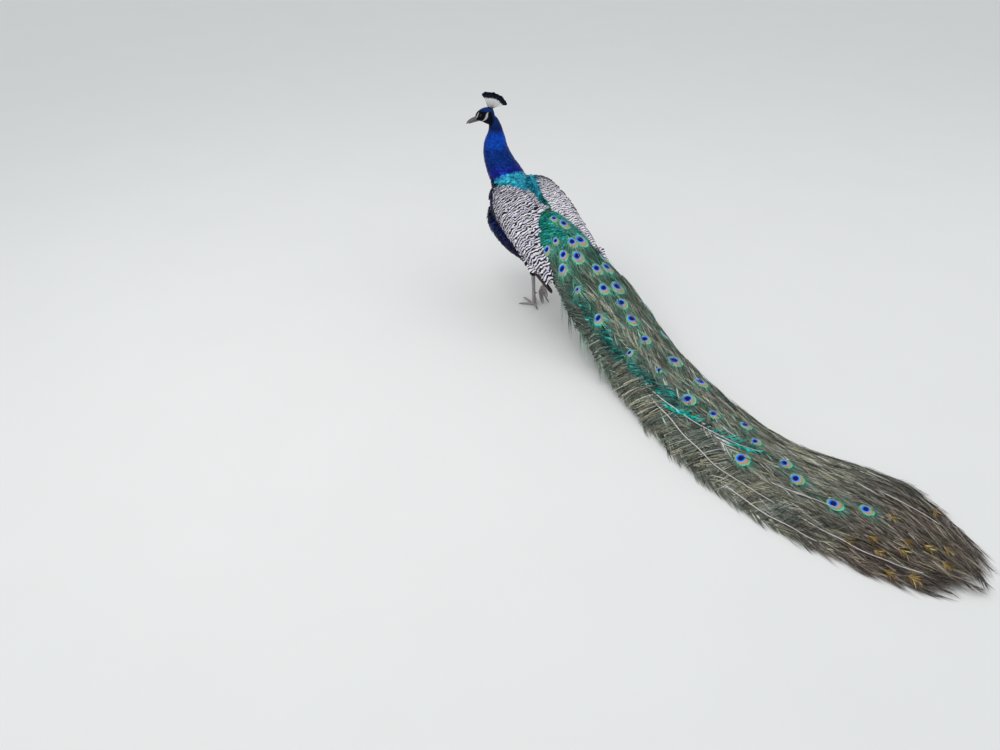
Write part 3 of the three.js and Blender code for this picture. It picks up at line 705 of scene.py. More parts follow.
def eye_spot_material(name):
    """The eye of a train feather: navy heart in cobalt, a bronze oval, a gold line and a mint rim."""
    n = Nodes(name)
    c = bpy.context.scene.peacock_colours
    fine = n.noise(n.object_place(), 700.0, 2.0)
    x, y = [n.math("MULTIPLY_ADD", place, 2.0, -1.0) for place in vane_place(n)]

    def oval(centre, wide, long):
        """Distance from a centre on the feather's shaft, 1 on the oval's edge, a little ragged."""
        dx = n.math("DIVIDE", x, wide)
        dy = n.math("DIVIDE", n.math("SUBTRACT", y, centre), long)
        ring = n.math("SQRT", n.math("ADD", n.math("MULTIPLY", dx, dx), n.math("MULTIPLY", dy, dy)))
        return n.math("ADD", ring, n.math("MULTIPLY", n.math("SUBTRACT", fine, 0.5), 0.07))

    rim = oval(-0.02, 0.98, 0.98)
    gold = oval(-0.10, 0.74, 0.75)
    tan = oval(-0.12, 0.66, 0.68)
    blue = oval(-0.27, 0.58, 0.47)
    notch = n.math("MULTIPLY", n.between(n.math("ABSOLUTE", x), 0.16, 0.0), 0.12)
    heart = n.math("ADD", oval(-0.25, 0.43, 0.33), notch)
    base = n.mix(n.between(rim, 0.92, 1.02), rgba(c.mint), rgba(c.olive_green))
    for ring, outside, inside, tint in (
        (gold, 1.22, 1.12, c.rim_green),
        (gold, 1.07, 1.02, c.gold_line),
        (gold, 1.0, 0.95, c.orange_line),
        (tan, 1.0, 0.95, c.tan),
        (blue, 1.10, 1.0, c.light_blue),
        (blue, 1.0, 0.9, c.spot_blue),
        (heart, 1.05, 0.9, c.navy),
    ):
        base = n.mix(n.between(ring, outside, inside), base, rgba(tint))
    slant = n.math("ADD", y, n.math("MULTIPLY", n.math("ABSOLUTE", x), -0.9))
    streaks = n.math("SINE", n.math("MULTIPLY", slant, 95.0))
    share = n.math("MULTIPLY", n.between(streaks, -0.2, 1.0), 0.3)
    base = n.mix(share, base, n.mix(1.0, base, (0.45, 0.5, 0.5, 1), "MULTIPLY"))
    n.bump(streaks, 0.3, 0.0003)
    return n.finish(base, Metallic=0.4, Roughness=0.45, Specular_IOR_Level=0.15)


def strand_material(name, metallic, roughness):
    """Loose barbs, shafts and other thin strands in the piece's own colours."""
    n = Nodes(name)
    base = n.attribute("plumage").outputs["Color"]
    grain = n.noise(n.object_place(), 500.0, 2.0)
    tone = n.dimmed(n.between(grain, 0.3, 0.7), base, (0.6, 0.6, 0.6))
    n.bump(grain, 0.2, 0.0003)
    return n.finish(tone, Metallic=metallic, Roughness=roughness, Specular_IOR_Level=0.12)


def horn_material(name, base, dark, roughness):
    """Horn of bill and claws: grows in faint layers and is darker in patches."""
    n = Nodes(name)
    place = n.object_place()
    grain = n.noise(place, 190.0, 3.0)
    wave = {"Vector": place, "Scale": 160.0, "Distortion": 4.0}
    layers = n.add("ShaderNodeTexWave", wave).outputs["Fac"]
    patches = n.math("MULTIPLY", n.between(grain, 0.4, 0.8), 0.35)
    tone = n.mix(n.math("MAXIMUM", patches, n.attribute("dark").outputs["Fac"]), base, dark)
    n.bump(n.math("ADD", n.math("MULTIPLY", layers, 0.3), grain), 0.15, 0.0003)
    return n.finish(tone, Roughness=roughness, Coat_Weight=0.2, Coat_Roughness=0.2)


def scaly_material(name, base, dark):
    """Bare leg: small many-sided scales with creases darkened as painted shade."""
    n = Nodes(name)
    place = n.object_place()
    scale = {"Vector": place, "Scale": 330.0}
    cells = n.add("ShaderNodeTexVoronoi", scale, feature="DISTANCE_TO_EDGE")
    # Painted shade: darker in the creases between the scales.
    crease = n.between(cells.outputs["Distance"], 0.02, 0.14)
    grain = n.noise(place, 120.0, 3.0)
    tone = n.mix(crease, dark, n.dimmed(n.between(grain, 0.35, 0.7), base, (0.72, 0.68, 0.62)))
    n.bump(crease, 0.5, 0.0005)
    return n.finish(tone, Roughness=0.55, Specular_IOR_Level=0.4)


# ------------------------------------------------------------------ user's sizes and colours
def hue(code):
    """Linear colour of an sRGB hex code."""
    parts = [int(code[i : i + 2], 16) / 255 for i in (0, 2, 4)]
    return tuple(p / 12.92 if p <= 0.04045 else ((p + 0.055) / 1.055) ** 2.4 for p in parts)


def swatch(name, code, description):
    """A colour that the user can change."""
    return FloatVectorProperty(
        name=name, description=description, subtype="COLOR", size=3, min=0.0, max=1.0, default=hue(code)
    )


def span(name, default, description, low, high):
    """A length that the user can change."""
    return FloatProperty(
        name=name, description=description, unit="LENGTH", min=low, max=high, default=default
    )


class PeacockColours(bpy.types.PropertyGroup):
    """Colours of the plumage and of the bare parts"""

    cobalt: swatch("Cobalt", "103a80", "Crown")
    blue: swatch("Blue", "0b54cf", "Upper neck")
    deep_blue: swatch("Deep blue", "083a91", "Middle of the neck")
    violet: swatch("Violet", "1b2ba6", "Base of the neck")
    dusk: swatch("Dusk", "0d2563", "Nape and sides of the neck's base")
    teal: swatch("Teal", "3dc4e1", "Scales of the mantle")
    emerald: swatch("Emerald", "229f83", "Back and start of the train")
    breast: swatch("Breast", "111944", "Breast and flanks")
    belly: swatch("Belly", "191b22", "Belly and vent")
    face: swatch("Face", "060b1c", "Lores, cheeks and throat")
    white: swatch("White", "f2f3ef", "Bare skin of the face")
    wing: swatch("Wing", "f1eefa", "Ground of the left wing")
    wing_pale: swatch("Pale wing", "f1eef7", "Ground of the right wing")
    bar: swatch("Bar", "14131b", "Bars of the wings")
    primary: swatch("Primary", "342721", "Folded primaries")
    thigh: swatch("Thigh", "907a5b", "Feathers of the thighs")
    tail: swatch("Tail", "685848", "Stiff feathers under the train")
    olive: swatch("Olive", "9da193", "Loose barbs of the train")
    olive_green: swatch("Olive green", "3c8671", "Barbs beside the train's eyes")
    # Painted highlight: pale barbs that stand for barbs catching the light.
    straw: swatch("Straw", "cfc7a8", "Loose barbs that catch the light")
    blade: swatch("Blade", "1dcab3", "Bright sword feathers on the train")
    bronze: swatch("Bronze", "7a6e65", "Barbs near the train's end")
    sword: swatch("Sword", "16776f", "Sword feathers at the train's sides")
    hanging: swatch("Hanging", "6a756b", "Barbs that hang to the floor")
    shaft: swatch("Shaft", "f3edea", "Long bare shafts")
    shaft_brown: swatch("Brown shaft", "7f6854", "Shafts of eyed feathers")
    gold: swatch("Gold", "cdaa56", "Forked tips at the train's end")
    gold_line: swatch("Gold line", "a4ca8f", "Thin line inside an eye's rim")
    mint: swatch("Mint", "84d8b8", "Outer rim of an eye")
    rim_green: swatch("Rim green", "56b18a", "Green ring inside an eye's rim")
    orange_line: swatch("Orange line", "b17f4d", "Thin line round an eye's oval")
    tan: swatch("Tan", "bf9a86", "Oval of an eye")
    light_blue: swatch("Light blue", "3aa8ff", "Edge of an eye's blue")
    spot_blue: swatch("Spot blue", "1c78ff", "Blue of an eye")
    navy: swatch("Navy", "0a0c58", "Heart of an eye")
    crest_fan: swatch("Crest fan", "080b14", "Fans of the crest")
    crest_shaft: swatch("Crest shaft", "4f443f", "Bare shafts of the crest")
    iris: swatch("Iris", "1c0f09", "Iris")
    lid: swatch("Lid", "1b1d26", "Bare lids")
    horn: swatch("Horn", "6f6b70", "Bill")
    horn_dark: swatch("Dark horn", "26242a", "Top and base of the bill")
    claw: swatch("Claw", "443c36", "Claws and spurs")
    leg: swatch("Leg", "b3adb0", "Scales of the bare legs")
    # Painted shade in the creases between the leg's scales.
    leg_dark: swatch("Leg crease", "837b80", "Creases between scales")
    floor: swatch("Floor", "e9e9e6", "Floor")


class PeacockSizes(bpy.types.PropertyGroup):
    """Sizes of the skin, the feathers and the stage"""

    skin_detail: span("Skin detail", 0.0032, "Side of the skin's faces", 0.0015, 0.01)
    coat_depth: span("Coat depth", 0.006, "How far the skin lies inside the trunk", 0.002, 0.015)
    crest_feathers: IntProperty(
        name="Crest feathers", description="How many feathers the crest has", min=1, max=400, default=26
    )
    crest_length: span("Crest length", 0.060, "Length of a crest feather", 0.02, 0.1)
    barb_gap: span("Barb gap", 0.0021, "Distance between barbs on a train feather", 0.001, 0.02)
    barb_width: span("Barb width", 0.0012, "Width of a loose barb", 0.0004, 0.005)
    barb_length: span("Barb length", 0.086, "Length of a loose barb", 0.01, 0.15)
    eye_length: span("Eye length", 0.053, "Length of a train feather's eye", 0.02, 0.08)
    eye_width: span("Eye width", 0.047, "Width of a train feather's eye", 0.02, 0.08)
    camera_height: span("Camera height", 1.68, "Height of the camera over the floor", 0.2, 4.0)


def swatches():
    """The user's colours as arrays, by name."""
    props = bpy.context.scene.peacock_colours
    return {key: np.array(getattr(props, key)[:]) for key in PeacockColours.__annotations__}


# ------------------------------------------------------------------ skin
def coat_depth(points, sizes):
    """How far inside the outline the skin lies."""
    _, y, z = bird_axes(points)
    forward, _, _ = head_axes(points)
    neck = ramp(z, [440, 500, 600, 640, 665], [1.0, 0.7, 0.45, 0.3, 0.22])
    flight = 1 - 0.55 * smooth(y, 20, 90) * smooth(z, 220, 260)
    head = 1 - 0.5 * smooth(forward, 8, 20) * smooth(z, 610, 630)
    return sizes.coat_depth * neck * flight * head


def eyelids(side):
    """A pair of soft lids round one eye, as a bmesh ring longer than high that lies on the eyeball."""
    ring = bmesh.new()
    thickness, opening = 1.15 * MM, 6.1 * MM
    circle = bmesh.ops.create_circle(ring, segments=8, radius=thickness)["verts"]
    turn = Matrix.Translation((opening, 0, 0)) @ Matrix.Rotation(math.pi / 2, 4, "X")
    bmesh.ops.transform(ring, matrix=turn, verts=circle)
    outline = ring.verts[:] + ring.edges[:]
    bmesh.ops.spin(
        ring, geom=outline, axis=(0, 0, 1), cent=(0, 0, 0), steps=32, angle=2 * math.pi, use_merge=True
    )
    for v in ring.verts:
        v.co.x *= 1.04
        v.co.y *= 0.84
        far = min(math.hypot(v.co.x, v.co.y), EYE_RADIUS - 0.25 * MM)
        v.co.z = v.co.z * 0.55 + math.sqrt(EYE_RADIUS**2 - far**2) - 3.5 * MM
    bmesh.ops.recalc_face_normals(ring, faces=ring.faces)
    axes = Matrix((BILL_WARD, HEAD_UP, HEAD_LEFT * side)).transposed().to_4x4()
    forward, left, up = EYE_PLACE
    seat = on_head(forward, side * (left + 3.6), up)
    bmesh.ops.transform(ring, matrix=Matrix.Translation(seat) @ axes, verts=ring.verts)
    return ring


class PEACOCK_OT_skin(bpy.types.Operator):
    """Make one skin that lies inside head, neck, trunk, wings and thighs by the coat's depth"""

    bl_idname = "peacock.skin"
    bl_label = "Skin"

    def execute(self, context):
        sizes = context.scene.peacock_sizes
        c = swatches()
        swell = 1.0 * MM
        solids = node_bmesh(*BODY_NODES, *THIGH_NODES, *WING_NODES, swell=swell)
        skin = merge_solids(to_object(solids, "skin"), sizes.skin_detail, 6)
        points, _, normals = mesh_arrays(skin.data)
        points -= normals * (coat_depth(points, sizes) + swell)[:, None]
        skin.data.vertices.foreach_set("co", points.ravel())
        whole = bmesh.new()
        whole.from_mesh(skin.data)
        round_off(whole, 1)
        whole.to_mesh(skin.data)
        points, _, _ = mesh_arrays(skin.data)
        # Painted shadow: the pale wing colour stops high on the skin, so the skin under the wing's hem
        # keeps the dark body colour as a shadow beneath the wing.
        on_wing = smooth(wing_coat_share(points, wing_share(points)), 0.7, 1.0)
        colours = blend(body_colour(points, c), wing_colour(points, c), on_wing)
        for side in (1, -1):
            lids = bpy.data.meshes.new("lids")
            ring = eyelids(side)
            ring.to_mesh(lids)
            ring.free()
            whole.from_mesh(lids)
            colours = np.concatenate([colours, np.tile(c["lid"], (len(lids.vertices), 1))])
            on_wing = np.concatenate([on_wing, np.zeros(len(lids.vertices))])
            bpy.data.meshes.remove(lids)
        whole.to_mesh(skin.data)
        whole.free()
        fix_order(skin)
        skin.data.shade_smooth()
        set_colour(skin.data, colours)
        points, _, _ = mesh_arrays(skin.data)
        set_values(skin.data, "phase", bar_phase(points))
        set_values(skin.data, "winged", on_wing)
        skin.data.materials.append(skin_material("skin"))
        finish_piece(skin, BODY_NODES + THIGH_NODES + WING_NODES)
        return {"FINISHED"}


def wing_share(points):
    """1 on the wings and 0 on the body, from whichever solid is nearer."""
    _, _, to_wing = Surface.of_nodes(*WING_NODES).nearest(points)
    _, _, to_body = Surface.of_nodes(*BODY_NODES, *THIGH_NODES).nearest(points)
    return 1 - smooth(to_wing - to_body, -1 * MM, 2 * MM)


def skin_material(name):
    """Skin in the coat's own markings, darkened in patches as painted shade, so that nothing pale shows
    between feathers.
    """
    n = Nodes(name)
    c = bpy.context.scene.peacock_colours
    base = n.attribute("plumage").outputs["Color"]
    phase = n.attribute("phase").outputs["Fac"]
    winged = n.attribute("winged").outputs["Fac"]
    grain = n.noise(n.object_place(), 380.0, 3.0)
    wave = n.math("SINE", n.math("MULTIPLY", phase, 2 * math.pi))
    bar = n.math("MULTIPLY", n.between(wave, 0.0, 0.4), winged)
    # Painted shade: patches of the skin are darker where it shows between feathers.
    dark = n.dimmed(n.between(grain, 0.25, 0.75), base, (0.45, 0.45, 0.5))
    n.bump(grain, 0.3, 0.0006)
    return n.finish(n.mix(bar, dark, rgba(c.bar)), Roughness=0.7, Specular_IOR_Level=0.15)


# ------------------------------------------------------------------ body coat
# Shapes of feathers: half widths, and how far along the feather each is, from its root to its tip.
BODY_VANE = vane_shape([0.35, 0.8, 1.0, 0.86, 0.5, 0], [0, 0.3, 0.6, 0.82, 0.95, 1.0], 2)
SMALL_VANE = vane_shape([0.4, 1.0, 0.7, 0], [0, 0.45, 0.85, 1.0], 2)
WING_VANE = vane_shape([0.4, 0.8, 1.0, 1.0, 0.85, 0.5, 0], [0, 0.22, 0.45, 0.68, 0.85, 0.96, 1.0], 4)


def feather_length(points, on_wing):
    """Length of a contour feather by place."""
    _, y, z = bird_axes(points)
    forward, _, _ = head_axes(points)
    by_height = ramp(z, [440, 500, 560, 620, 645, 690], [19, 14, 11, 7.5, 5.6, 5.0])
    face = 1 - 0.4 * smooth(forward, -8, 12) * smooth(z, 610, 630)
    back = ramp(y, [-250, -120, 60], [21, 27, 34])
    body = np.where(z > 440, by_height, back) * face
    leg = 1 - 0.35 * smooth(-z, -230, -170)
    wing = ramp(y, [-260, -160, -20, 90, 180], [15, 22, 34, 46, 50])
    return lerp(body * leg, wing, on_wing) * MM * (1 - 0.5 * white_share(points))


def around_map(points):
    """Where a place on the body lies on an unwrap of the skin: round the body, and along it."""
    x, y, z = bird_axes(points)
    body_axis = ramp(y, [-330, -60, 246], [352, 304, 221])
    turn = np.arctan2(x, z - body_axis) / (2 * math.pi) + 0.5
    neck_turn = np.arctan2(x - 35, -(y + 312)) / (2 * math.pi) + 0.5
    high = z > 450
    along = np.where(high, 0.02 + 0.34 * (700 - z) / 250, 0.38 + 0.6 * (y + 330) / 600)
    return np.clip(np.stack([np.where(high, neck_turn, turn), along], 1), 0.01, 0.99)


def under_train(points):
    """True where the start of the train hides the body."""
    p = points - HIPS
    return (p[:, 1] > 0.03) & (TRAIN.covers(points))


HEAD_BASE, NECK_BASE = 0.60, 0.44  # heights over the floor where the coat's pieces meet
GOLDEN_ANGLE = 2.4  # turn between neighbours, which never lines them up
GOLDEN_STEP = 0.618  # the same for places on a line
# Where the round ends of the left wing's inner feathers lie, in mm.
TERTIAL_TIPS = (
    (5, 15, 397), (36, 50, 375), (61, 55, 357), (68, 86, 339),
    (82, 115, 308), (88, 152, 275), (100, 190, 235),
)


class PEACOCK_OT_coat(bpy.types.Operator):
    """Cover the skin with shingled feathers that follow the lie: head, neck, body and barred wings"""

    bl_idname = "peacock.coat"
    bl_label = "Coat"

    def tertials(self, c, rng, material):
        """Broad feathers at the left wing's inner edge, whose round ends lie over the train."""
        surface = Surface.of_nodes("wing_left", "flight_left", "trunk", *TRAIN_NODES[:2])
        count = 16
        keys = np.linspace(0, 1, len(TERTIAL_TIPS))
        share = (np.arange(count) + 0.5) / count
        ends = ramp(share, keys, TERTIAL_TIPS) * MM + HIPS
        along = unit(np.array([[-0.10, 0.86, -0.42]]) + rng.normal(0, 0.04, (count, 3)))
        length = rng.uniform(56, 66, count) * MM
        roots, ups, _ = surface.nearest(ends - along * length[:, None])
        low = lerp(1.5, 3.5, np.arange(count) % 2) * MM
        laid = lay_vanes(
            surface, roots, ups, along, length, length * 0.22, low, low + 7 * MM, WING_VANE
        )
        places = laid.reshape(-1, 3)
        own = wing_colour(places, c).reshape(laid.shape)
        phase = bar_phase(places).reshape(laid.shape[:2])
        flock = Flock()
        flock.add_vanes(laid, WING_VANE, own, around_map(roots), phase)
        flock.build("coat_tertials", material, "barred_plumage", extra_name="phase")

    def cuffs(self, c, rng, material):
        """Short feathers that hang from each thigh over the top of the bare leg."""
        u, v, width = BODY_VANE[0].T
        flock = Flock()
        count = 44
        turn = np.arange(count) * GOLDEN_ANGLE
        for side in ("left", "right"):
            shank = np.array([v.co for v in node_bmesh(f"shank_{side}").verts])
            down = np.array([0.0, 0.0, -1.0])
            for _ in range(3):
                reach = shank @ down
                top = shank[reach < reach.min() + 10 * MM].mean(0)
                foot = shank[reach > reach.max() - 10 * MM].mean(0)
                down = unit(foot - top)
            aside = unit(np.cross(down, [1.0, 0, 0]))
            ups = np.cos(turn)[:, None] * aside + np.sin(turn)[:, None] * np.cross(down, aside)
            above = lerp(18, 2, np.arange(count) / count)[:, None]
            roots = top + ups * 12.4 * MM - down * above * MM
            length = rng.uniform(18, 24, count) * MM
            half = length * 0.25
            along = unit(down - ups * rng.uniform(0, 0.06, count)[:, None])
            beside = unit(np.cross(along, ups))
            half = half[:, None] * width
            laid = roots[:, None] + along[:, None] * (length[:, None] * u)[..., None]
            laid += beside[:, None] * (half * v)[..., None]
            laid -= ups[:, None] * (half * 0.35 * v**2)[..., None]
            own = body_colour(laid.reshape(-1, 3), c).reshape(laid.shape)
            own = own * np.exp(rng.normal(0, 0.25, count))[:, None, None]
            flock.add_vanes(laid, BODY_VANE, own, around_map(roots))
        flock.build("coat_cuffs", material, "brown_plumage")

    def execute(self, context):
        c = swatches()
        sizes = context.scene.peacock_sizes
        rng = np.random.default_rng(11)
        skin = bpy.data.objects["skin"]
        points, triangles, normals = mesh_arrays(skin.data)
        winged = np.zeros(len(points))
        skin.data.attributes["winged"].data.foreach_get("value", winged)
        spacing = feather_length(points, winged) * lerp(0.40, 0.36, winged)
        spacing = np.where(skin_bare(points), 0, spacing)
        places, ups = scatter(points, triangles, normals, spacing, rng)
        keep = ~under_train(places)
        places, ups = places[keep], ups[keep]
        on_wing = wing_coat_share(places, wing_share(places)) > 0.5
        surface = Surface(points, triangles)
        depth = coat_depth(places, sizes)
        length = feather_length(places, on_wing * 1.0) * rng.uniform(0.88, 1.14, len(places))
        lie = np.where(on_wing[:, None], wing_lie(places, ups), lie_at(places, ups))
        lie = unit(lie + np.cross(ups, lie) * rng.normal(0, 0.09, len(places))[:, None])
        height = (places - HIPS)[:, 2]
        spread = np.where(on_wing, 0.16, np.where(height > 0.61, 0.14, 0.30))
        tone = np.exp(rng.normal(0, spread * (1 - 0.8 * white_share(places))))
        body = contour_material("body_feathers", 0.4, 0.45, 12)
        barred = barred_material("barred_feathers")
        at_head, at_neck = height > HEAD_BASE, (height > NECK_BASE) & (height <= HEAD_BASE)
        at_left = places[:, 0] > HIPS[0]
        for name, chosen, shape, plump, material, slot in (
            (
                "coat_head", ~on_wing & at_head, SMALL_VANE, 0.32,
                contour_material("head_feathers", 0.35, 0.5, 6), "blue_plumage",
            ),
            (
                "coat_neck", ~on_wing & at_neck, BODY_VANE, 0.34,
                contour_material("neck_feathers", 0.5, 0.42, 8), "blue_plumage",
            ),
            ("coat_body", ~on_wing & ~at_head & ~at_neck, BODY_VANE, 0.42, body, "dark_plumage"),
            ("coat_wing_left", on_wing & at_left, WING_VANE, 0.36, barred, "barred_plumage"),
            (
                "coat_wing_right", on_wing & ~at_left, WING_VANE, 0.36,
                barred_material("flecked_feathers", 0.42), "barred_plumage",
            ),
        ):
            is_wing = "wing" in name
            size, roots, way = length[chosen], places[chosen], lie[chosen]
            raised = depth[chosen] * rng.uniform(0.75, 1.1, chosen.sum())
            laid = lay_vanes(
                surface, roots, ups[chosen], way, size, size * plump, 0.2 * MM, raised, shape
            )
            middles = roots + way * size[:, None] * 0.5
            own = (wing_colour if is_wing else body_colour)(middles, c)[:, None]
            own = own * tone[chosen][:, None, None]
            jitter = rng.normal(0, 0.10, len(laid))[:, None]
            phase = bar_phase(laid.reshape(-1, 3)).reshape(laid.shape[:2]) + jitter
            flock = Flock()
            flock.add_vanes(laid, shape, own, around_map(roots), phase if is_wing else None)
            flock.build(name, material, slot, extra_name="phase" if is_wing else None)
        self.tertials(c, rng, barred)
        self.cuffs(c, rng, body)
        return {"FINISHED"}


def skin_bare(points):
    """Places without feathers: under the lids and where bill and eyes sit."""
    bare = np.zeros(len(points), bool)
    forward, left, up = EYE_PLACE
    for side in (1, -1):
        eye = on_head(forward, side * (left + 3), up)
        bare |= np.linalg.norm(points - eye, axis=1) < 6.4 * MM
    forward, _, _ = head_axes(points)
    high = (points - HIPS)[:, 2] > 0.62
    return bare | (high & (forward > 27.5))


# ------------------------------------------------------------------ eyes, bill and crest
NOSTRIL = (36, 6.6, -6.6)  # forward, to the side and up from the head's centre, in mm


class PEACOCK_OT_eyes(bpy.types.Operator):
    """Set two wet dark eyes in their sockets"""

    bl_idname = "peacock.eyes"
    bl_label = "Eyes"

    def execute(self, context):
        c = context.scene.peacock_colours
        n = Nodes("eye")
        out = n.attribute("outward").outputs["Fac"]
        grain = n.noise(n.object_place(), 1500.0, 3.0)
        iris = n.mix(n.between(grain, 0.35, 0.65), rgba(c.iris), (0.03, 0.016, 0.01, 1))
        base = n.mix(n.between(out, 0.80, 0.84), iris, (0.004, 0.004, 0.005, 1))
        material = n.finish(
            base, Roughness=0.08, Specular_IOR_Level=0.2, Coat_Weight=0.3, Coat_Roughness=0.02
        )
        forward, left, up = EYE_PLACE
        for name, side in (("left", 1), ("right", -1)):
            middle = Vector(on_head(forward, side * left, up))
            bm = bmesh.new()
            bmesh.ops.create_uvsphere(bm, u_segments=40, v_segments=24, radius=EYE_RADIUS)
            look = Vector(HEAD_LEFT * side + BILL_WARD * 0.12).normalized()
            outward = [v.co.normalized().dot(look) for v in bm.verts]
            bmesh.ops.transform(bm, matrix=Matrix.Translation(middle), verts=bm.verts)
            eye = to_object(bm, f"eyeball_{name}", material)
            set_values(eye.data, "outward", outward)
            finish_piece(eye, [f"eye_{name}"])
        return {"FINISHED"}


class PEACOCK_OT_bill(bpy.types.Operator):
    """Round the two halves of the bill and cut a nostril in each side"""

    bl_idname = "peacock.bill"
    bl_label = "Bill"

    def execute(self, context):
        c = context.scene.peacock_colours
        material = horn_material("bill_horn", rgba(c.horn), rgba(c.horn_dark), 0.38)
        for node in ("bill_upper", "bill_lower"):
            upper = node == "bill_upper"
            bm = node_bmesh(node, swell=(0.6 if upper else 1.1) * MM)
            bmesh.ops.subdivide_edges(bm, edges=bm.edges, cuts=3, use_grid_fill=True)
            round_off(bm, 4)
            bmesh.ops.recalc_face_normals(bm, faces=bm.faces)
            forward, left, up = NOSTRIL
            for side in (1, -1) if upper else ():
                nostril = Vector(on_head(forward, side * left, up))
                long = Vector(BILL_WARD)
                for v in bm.verts:
                    gap = v.co - nostril
                    along = gap.dot(long)
                    across = (gap - long * along).length
                    dent = max(0.0, 1 - (along / (4.2 * MM)) ** 2 - (across / (1.9 * MM)) ** 2)
                    v.co -= Vector(HEAD_LEFT) * side * 1.5 * MM * dent
            horn = to_object(bm, node + "_horn", material)
            points, _, _ = mesh_arrays(horn.data)
            forward, _, up = head_axes(points)
            keys = np.linspace(forward.min(), forward.max(), 12)
            edges = [[f(up[np.abs(forward - k) < 3.5]) for k in keys] for f in (np.min, np.max)]
            low, high = [np.interp(forward, keys, edge) for edge in edges]
            ridge = smooth((up - low) / (high - low), 0.35, 0.85) if upper else 0.15
            tip = smooth(forward, keys[-1] - 9, keys[-1])
            base = 1 - smooth(forward, keys[0] + 3, keys[0] + 12)
            ahead, _, over = NOSTRIL
            # Painted shade: the horn darkens in each nostril's opening.
            nostril = np.exp(-(((forward - ahead) / 3.2) ** 2) - ((up - over) / 1.3) ** 2) * upper
            dark = 0.75 * ridge + 0.4 * tip + 0.5 * base + nostril
            set_values(horn.data, "dark", np.clip(dark, 0, 1))
            finish_piece(horn, [node])
        return {"FINISHED"}


FAN_VANE = vane_shape([0.12, 0.45, 0.85, 1.0, 0.85, 0], [0, 0.25, 0.5, 0.72, 0.9, 1.0], 4)


class PEACOCK_OT_crest(bpy.types.Operator):
    """Raise the crest: bare pale shafts that each end in a small dark fan"""

    bl_idname = "peacock.crest"
    bl_label = "Crest"

    def execute(self, context):
        c = swatches()
        sizes = context.scene.peacock_sizes
        rng = np.random.default_rng(5)
        count = sizes.crest_feathers
        share = (np.arange(count) + 0.5) / count
        angle = np.radians(lerp(-6, 84, share))[:, None]
        splay = np.radians(np.where(np.arange(count) % 2, 6, -6) + rng.normal(0, 1.5, count))[:, None]
        length = sizes.crest_length * rng.uniform(0.97, 1.03, count)
        roots = np.array(
            [on_head(lerp(-21, -33, t), rng.normal(0, 1.2), lerp(16, 12, t)) for t in share]
        )
        along = unit(HEAD_UP * np.cos(angle) - BILL_WARD * np.sin(angle) + HEAD_LEFT * np.sin(splay))
        flat = unit(np.cross(along, HEAD_LEFT[None]))
        flock = Flock()
        bend = 0.05 * length[:, None] * HEAD_LEFT * np.sign(splay) * 0.2
        fan, half = 20.5 * MM, 6.4 * MM
        start = roots + along * (length - fan)[:, None]
        u, v, width = FAN_VANE[0].T
        beside = (rng.normal(0, 0.8, count) * MM)[:, None] + (0.9 * MM * (1 - v**2) * width)[None]
        points = (
            start[:, None]
            + along[:, None] * (u * fan)[None, :, None]
            + flat[:, None] * (half * width * v)[None, :, None]
            + HEAD_LEFT * beside[..., None]
        )
        tint = c["crest_fan"] * (0.6 + 0.8 * rng.random((count, len(u), 1)))
        # Painted sheen: a faint deep blue gleam along the middle of each fan.
        gleam = 0.09 * smooth(u, 0.1, 0.5) * (1 - smooth(u, 0.6, 0.9))
        tint = blend(tint, c["deep_blue"], gleam)
        bake = np.tile([0.5, 0.03], (count, 1)) + share[:, None] * 0.02
        flock.add_vanes(points, FAN_VANE, tint, bake)
        shaft = c["crest_shaft"]
        long = length - fan * 0.4
        flock.add(*tubes(roots, along, long, 0.5 * MM, 0.3 * MM, shaft, bend, bake))
        wisps = 4
        short = np.full(count, 2.4 * MM)
        for k in range(wisps):
            t = lerp(0.25, 0.8, (k + 0.5) / wisps)
            base = roots + along * (length * t * 0.8)[:, None]
            way = unit(along + flat * (0.8 if k % 2 else -0.8))
            flock.add(*tubes(base, way, short, 0.12 * MM, 0.06 * MM, shaft, 0 * bend, bake))
        strands = strand_material("crest_strands", 0.15, 0.5)
        flock.build("crest_feathers", strands, "crest_plumage", ["crest"])
        return {"FINISHED"}


def tubes(roots, along, length, thick, thin, tint, bend, bake, stops=5):
    """Three-sided tapering stalks as the arrays a flock takes."""
    helper = np.where(np.abs(along[:, 2:]) < 0.8, [[0.0, 0.0, 1.0]], [[1.0, 0.0, 0.0]])
    side = unit(np.cross(along, helper))
    up = np.cross(side, along)
    rings = []
    for i in range(stops):
        t = i / (stops - 1)
        middle = roots + along * (length * t)[:, None] + bend * math.sin(math.pi * t)
        radius = lerp(thick, thin, t)
        for k in range(3):
            turn = 2 * math.pi * k / 3
            rings.append(middle + (side * math.cos(turn) + up * math.sin(turn)) * radius)
    t = np.repeat(np.linspace(0, 1, stops), 3)
    vane = np.stack([np.full(len(t), 0.5), t], 1)
    return np.stack(rings, 1), tube_faces(stops), tint, vane, bake


def tube_faces(stops):
    """Faces of a three-sided stalk, closed at both ends."""
    last = (stops - 1) * 3
    faces = [face for i in range(0, last, 3) for face in quads(i, 3, ((0, 1), (1, 2), (2, 0)))]
    faces += [(0, 2, 1), (last, last + 1, last + 2)]
    return np.array(faces)


# ------------------------------------------------------------------ legs
OVER_FLOOR = 0.2 * MM  # how far the feet stay over the floor


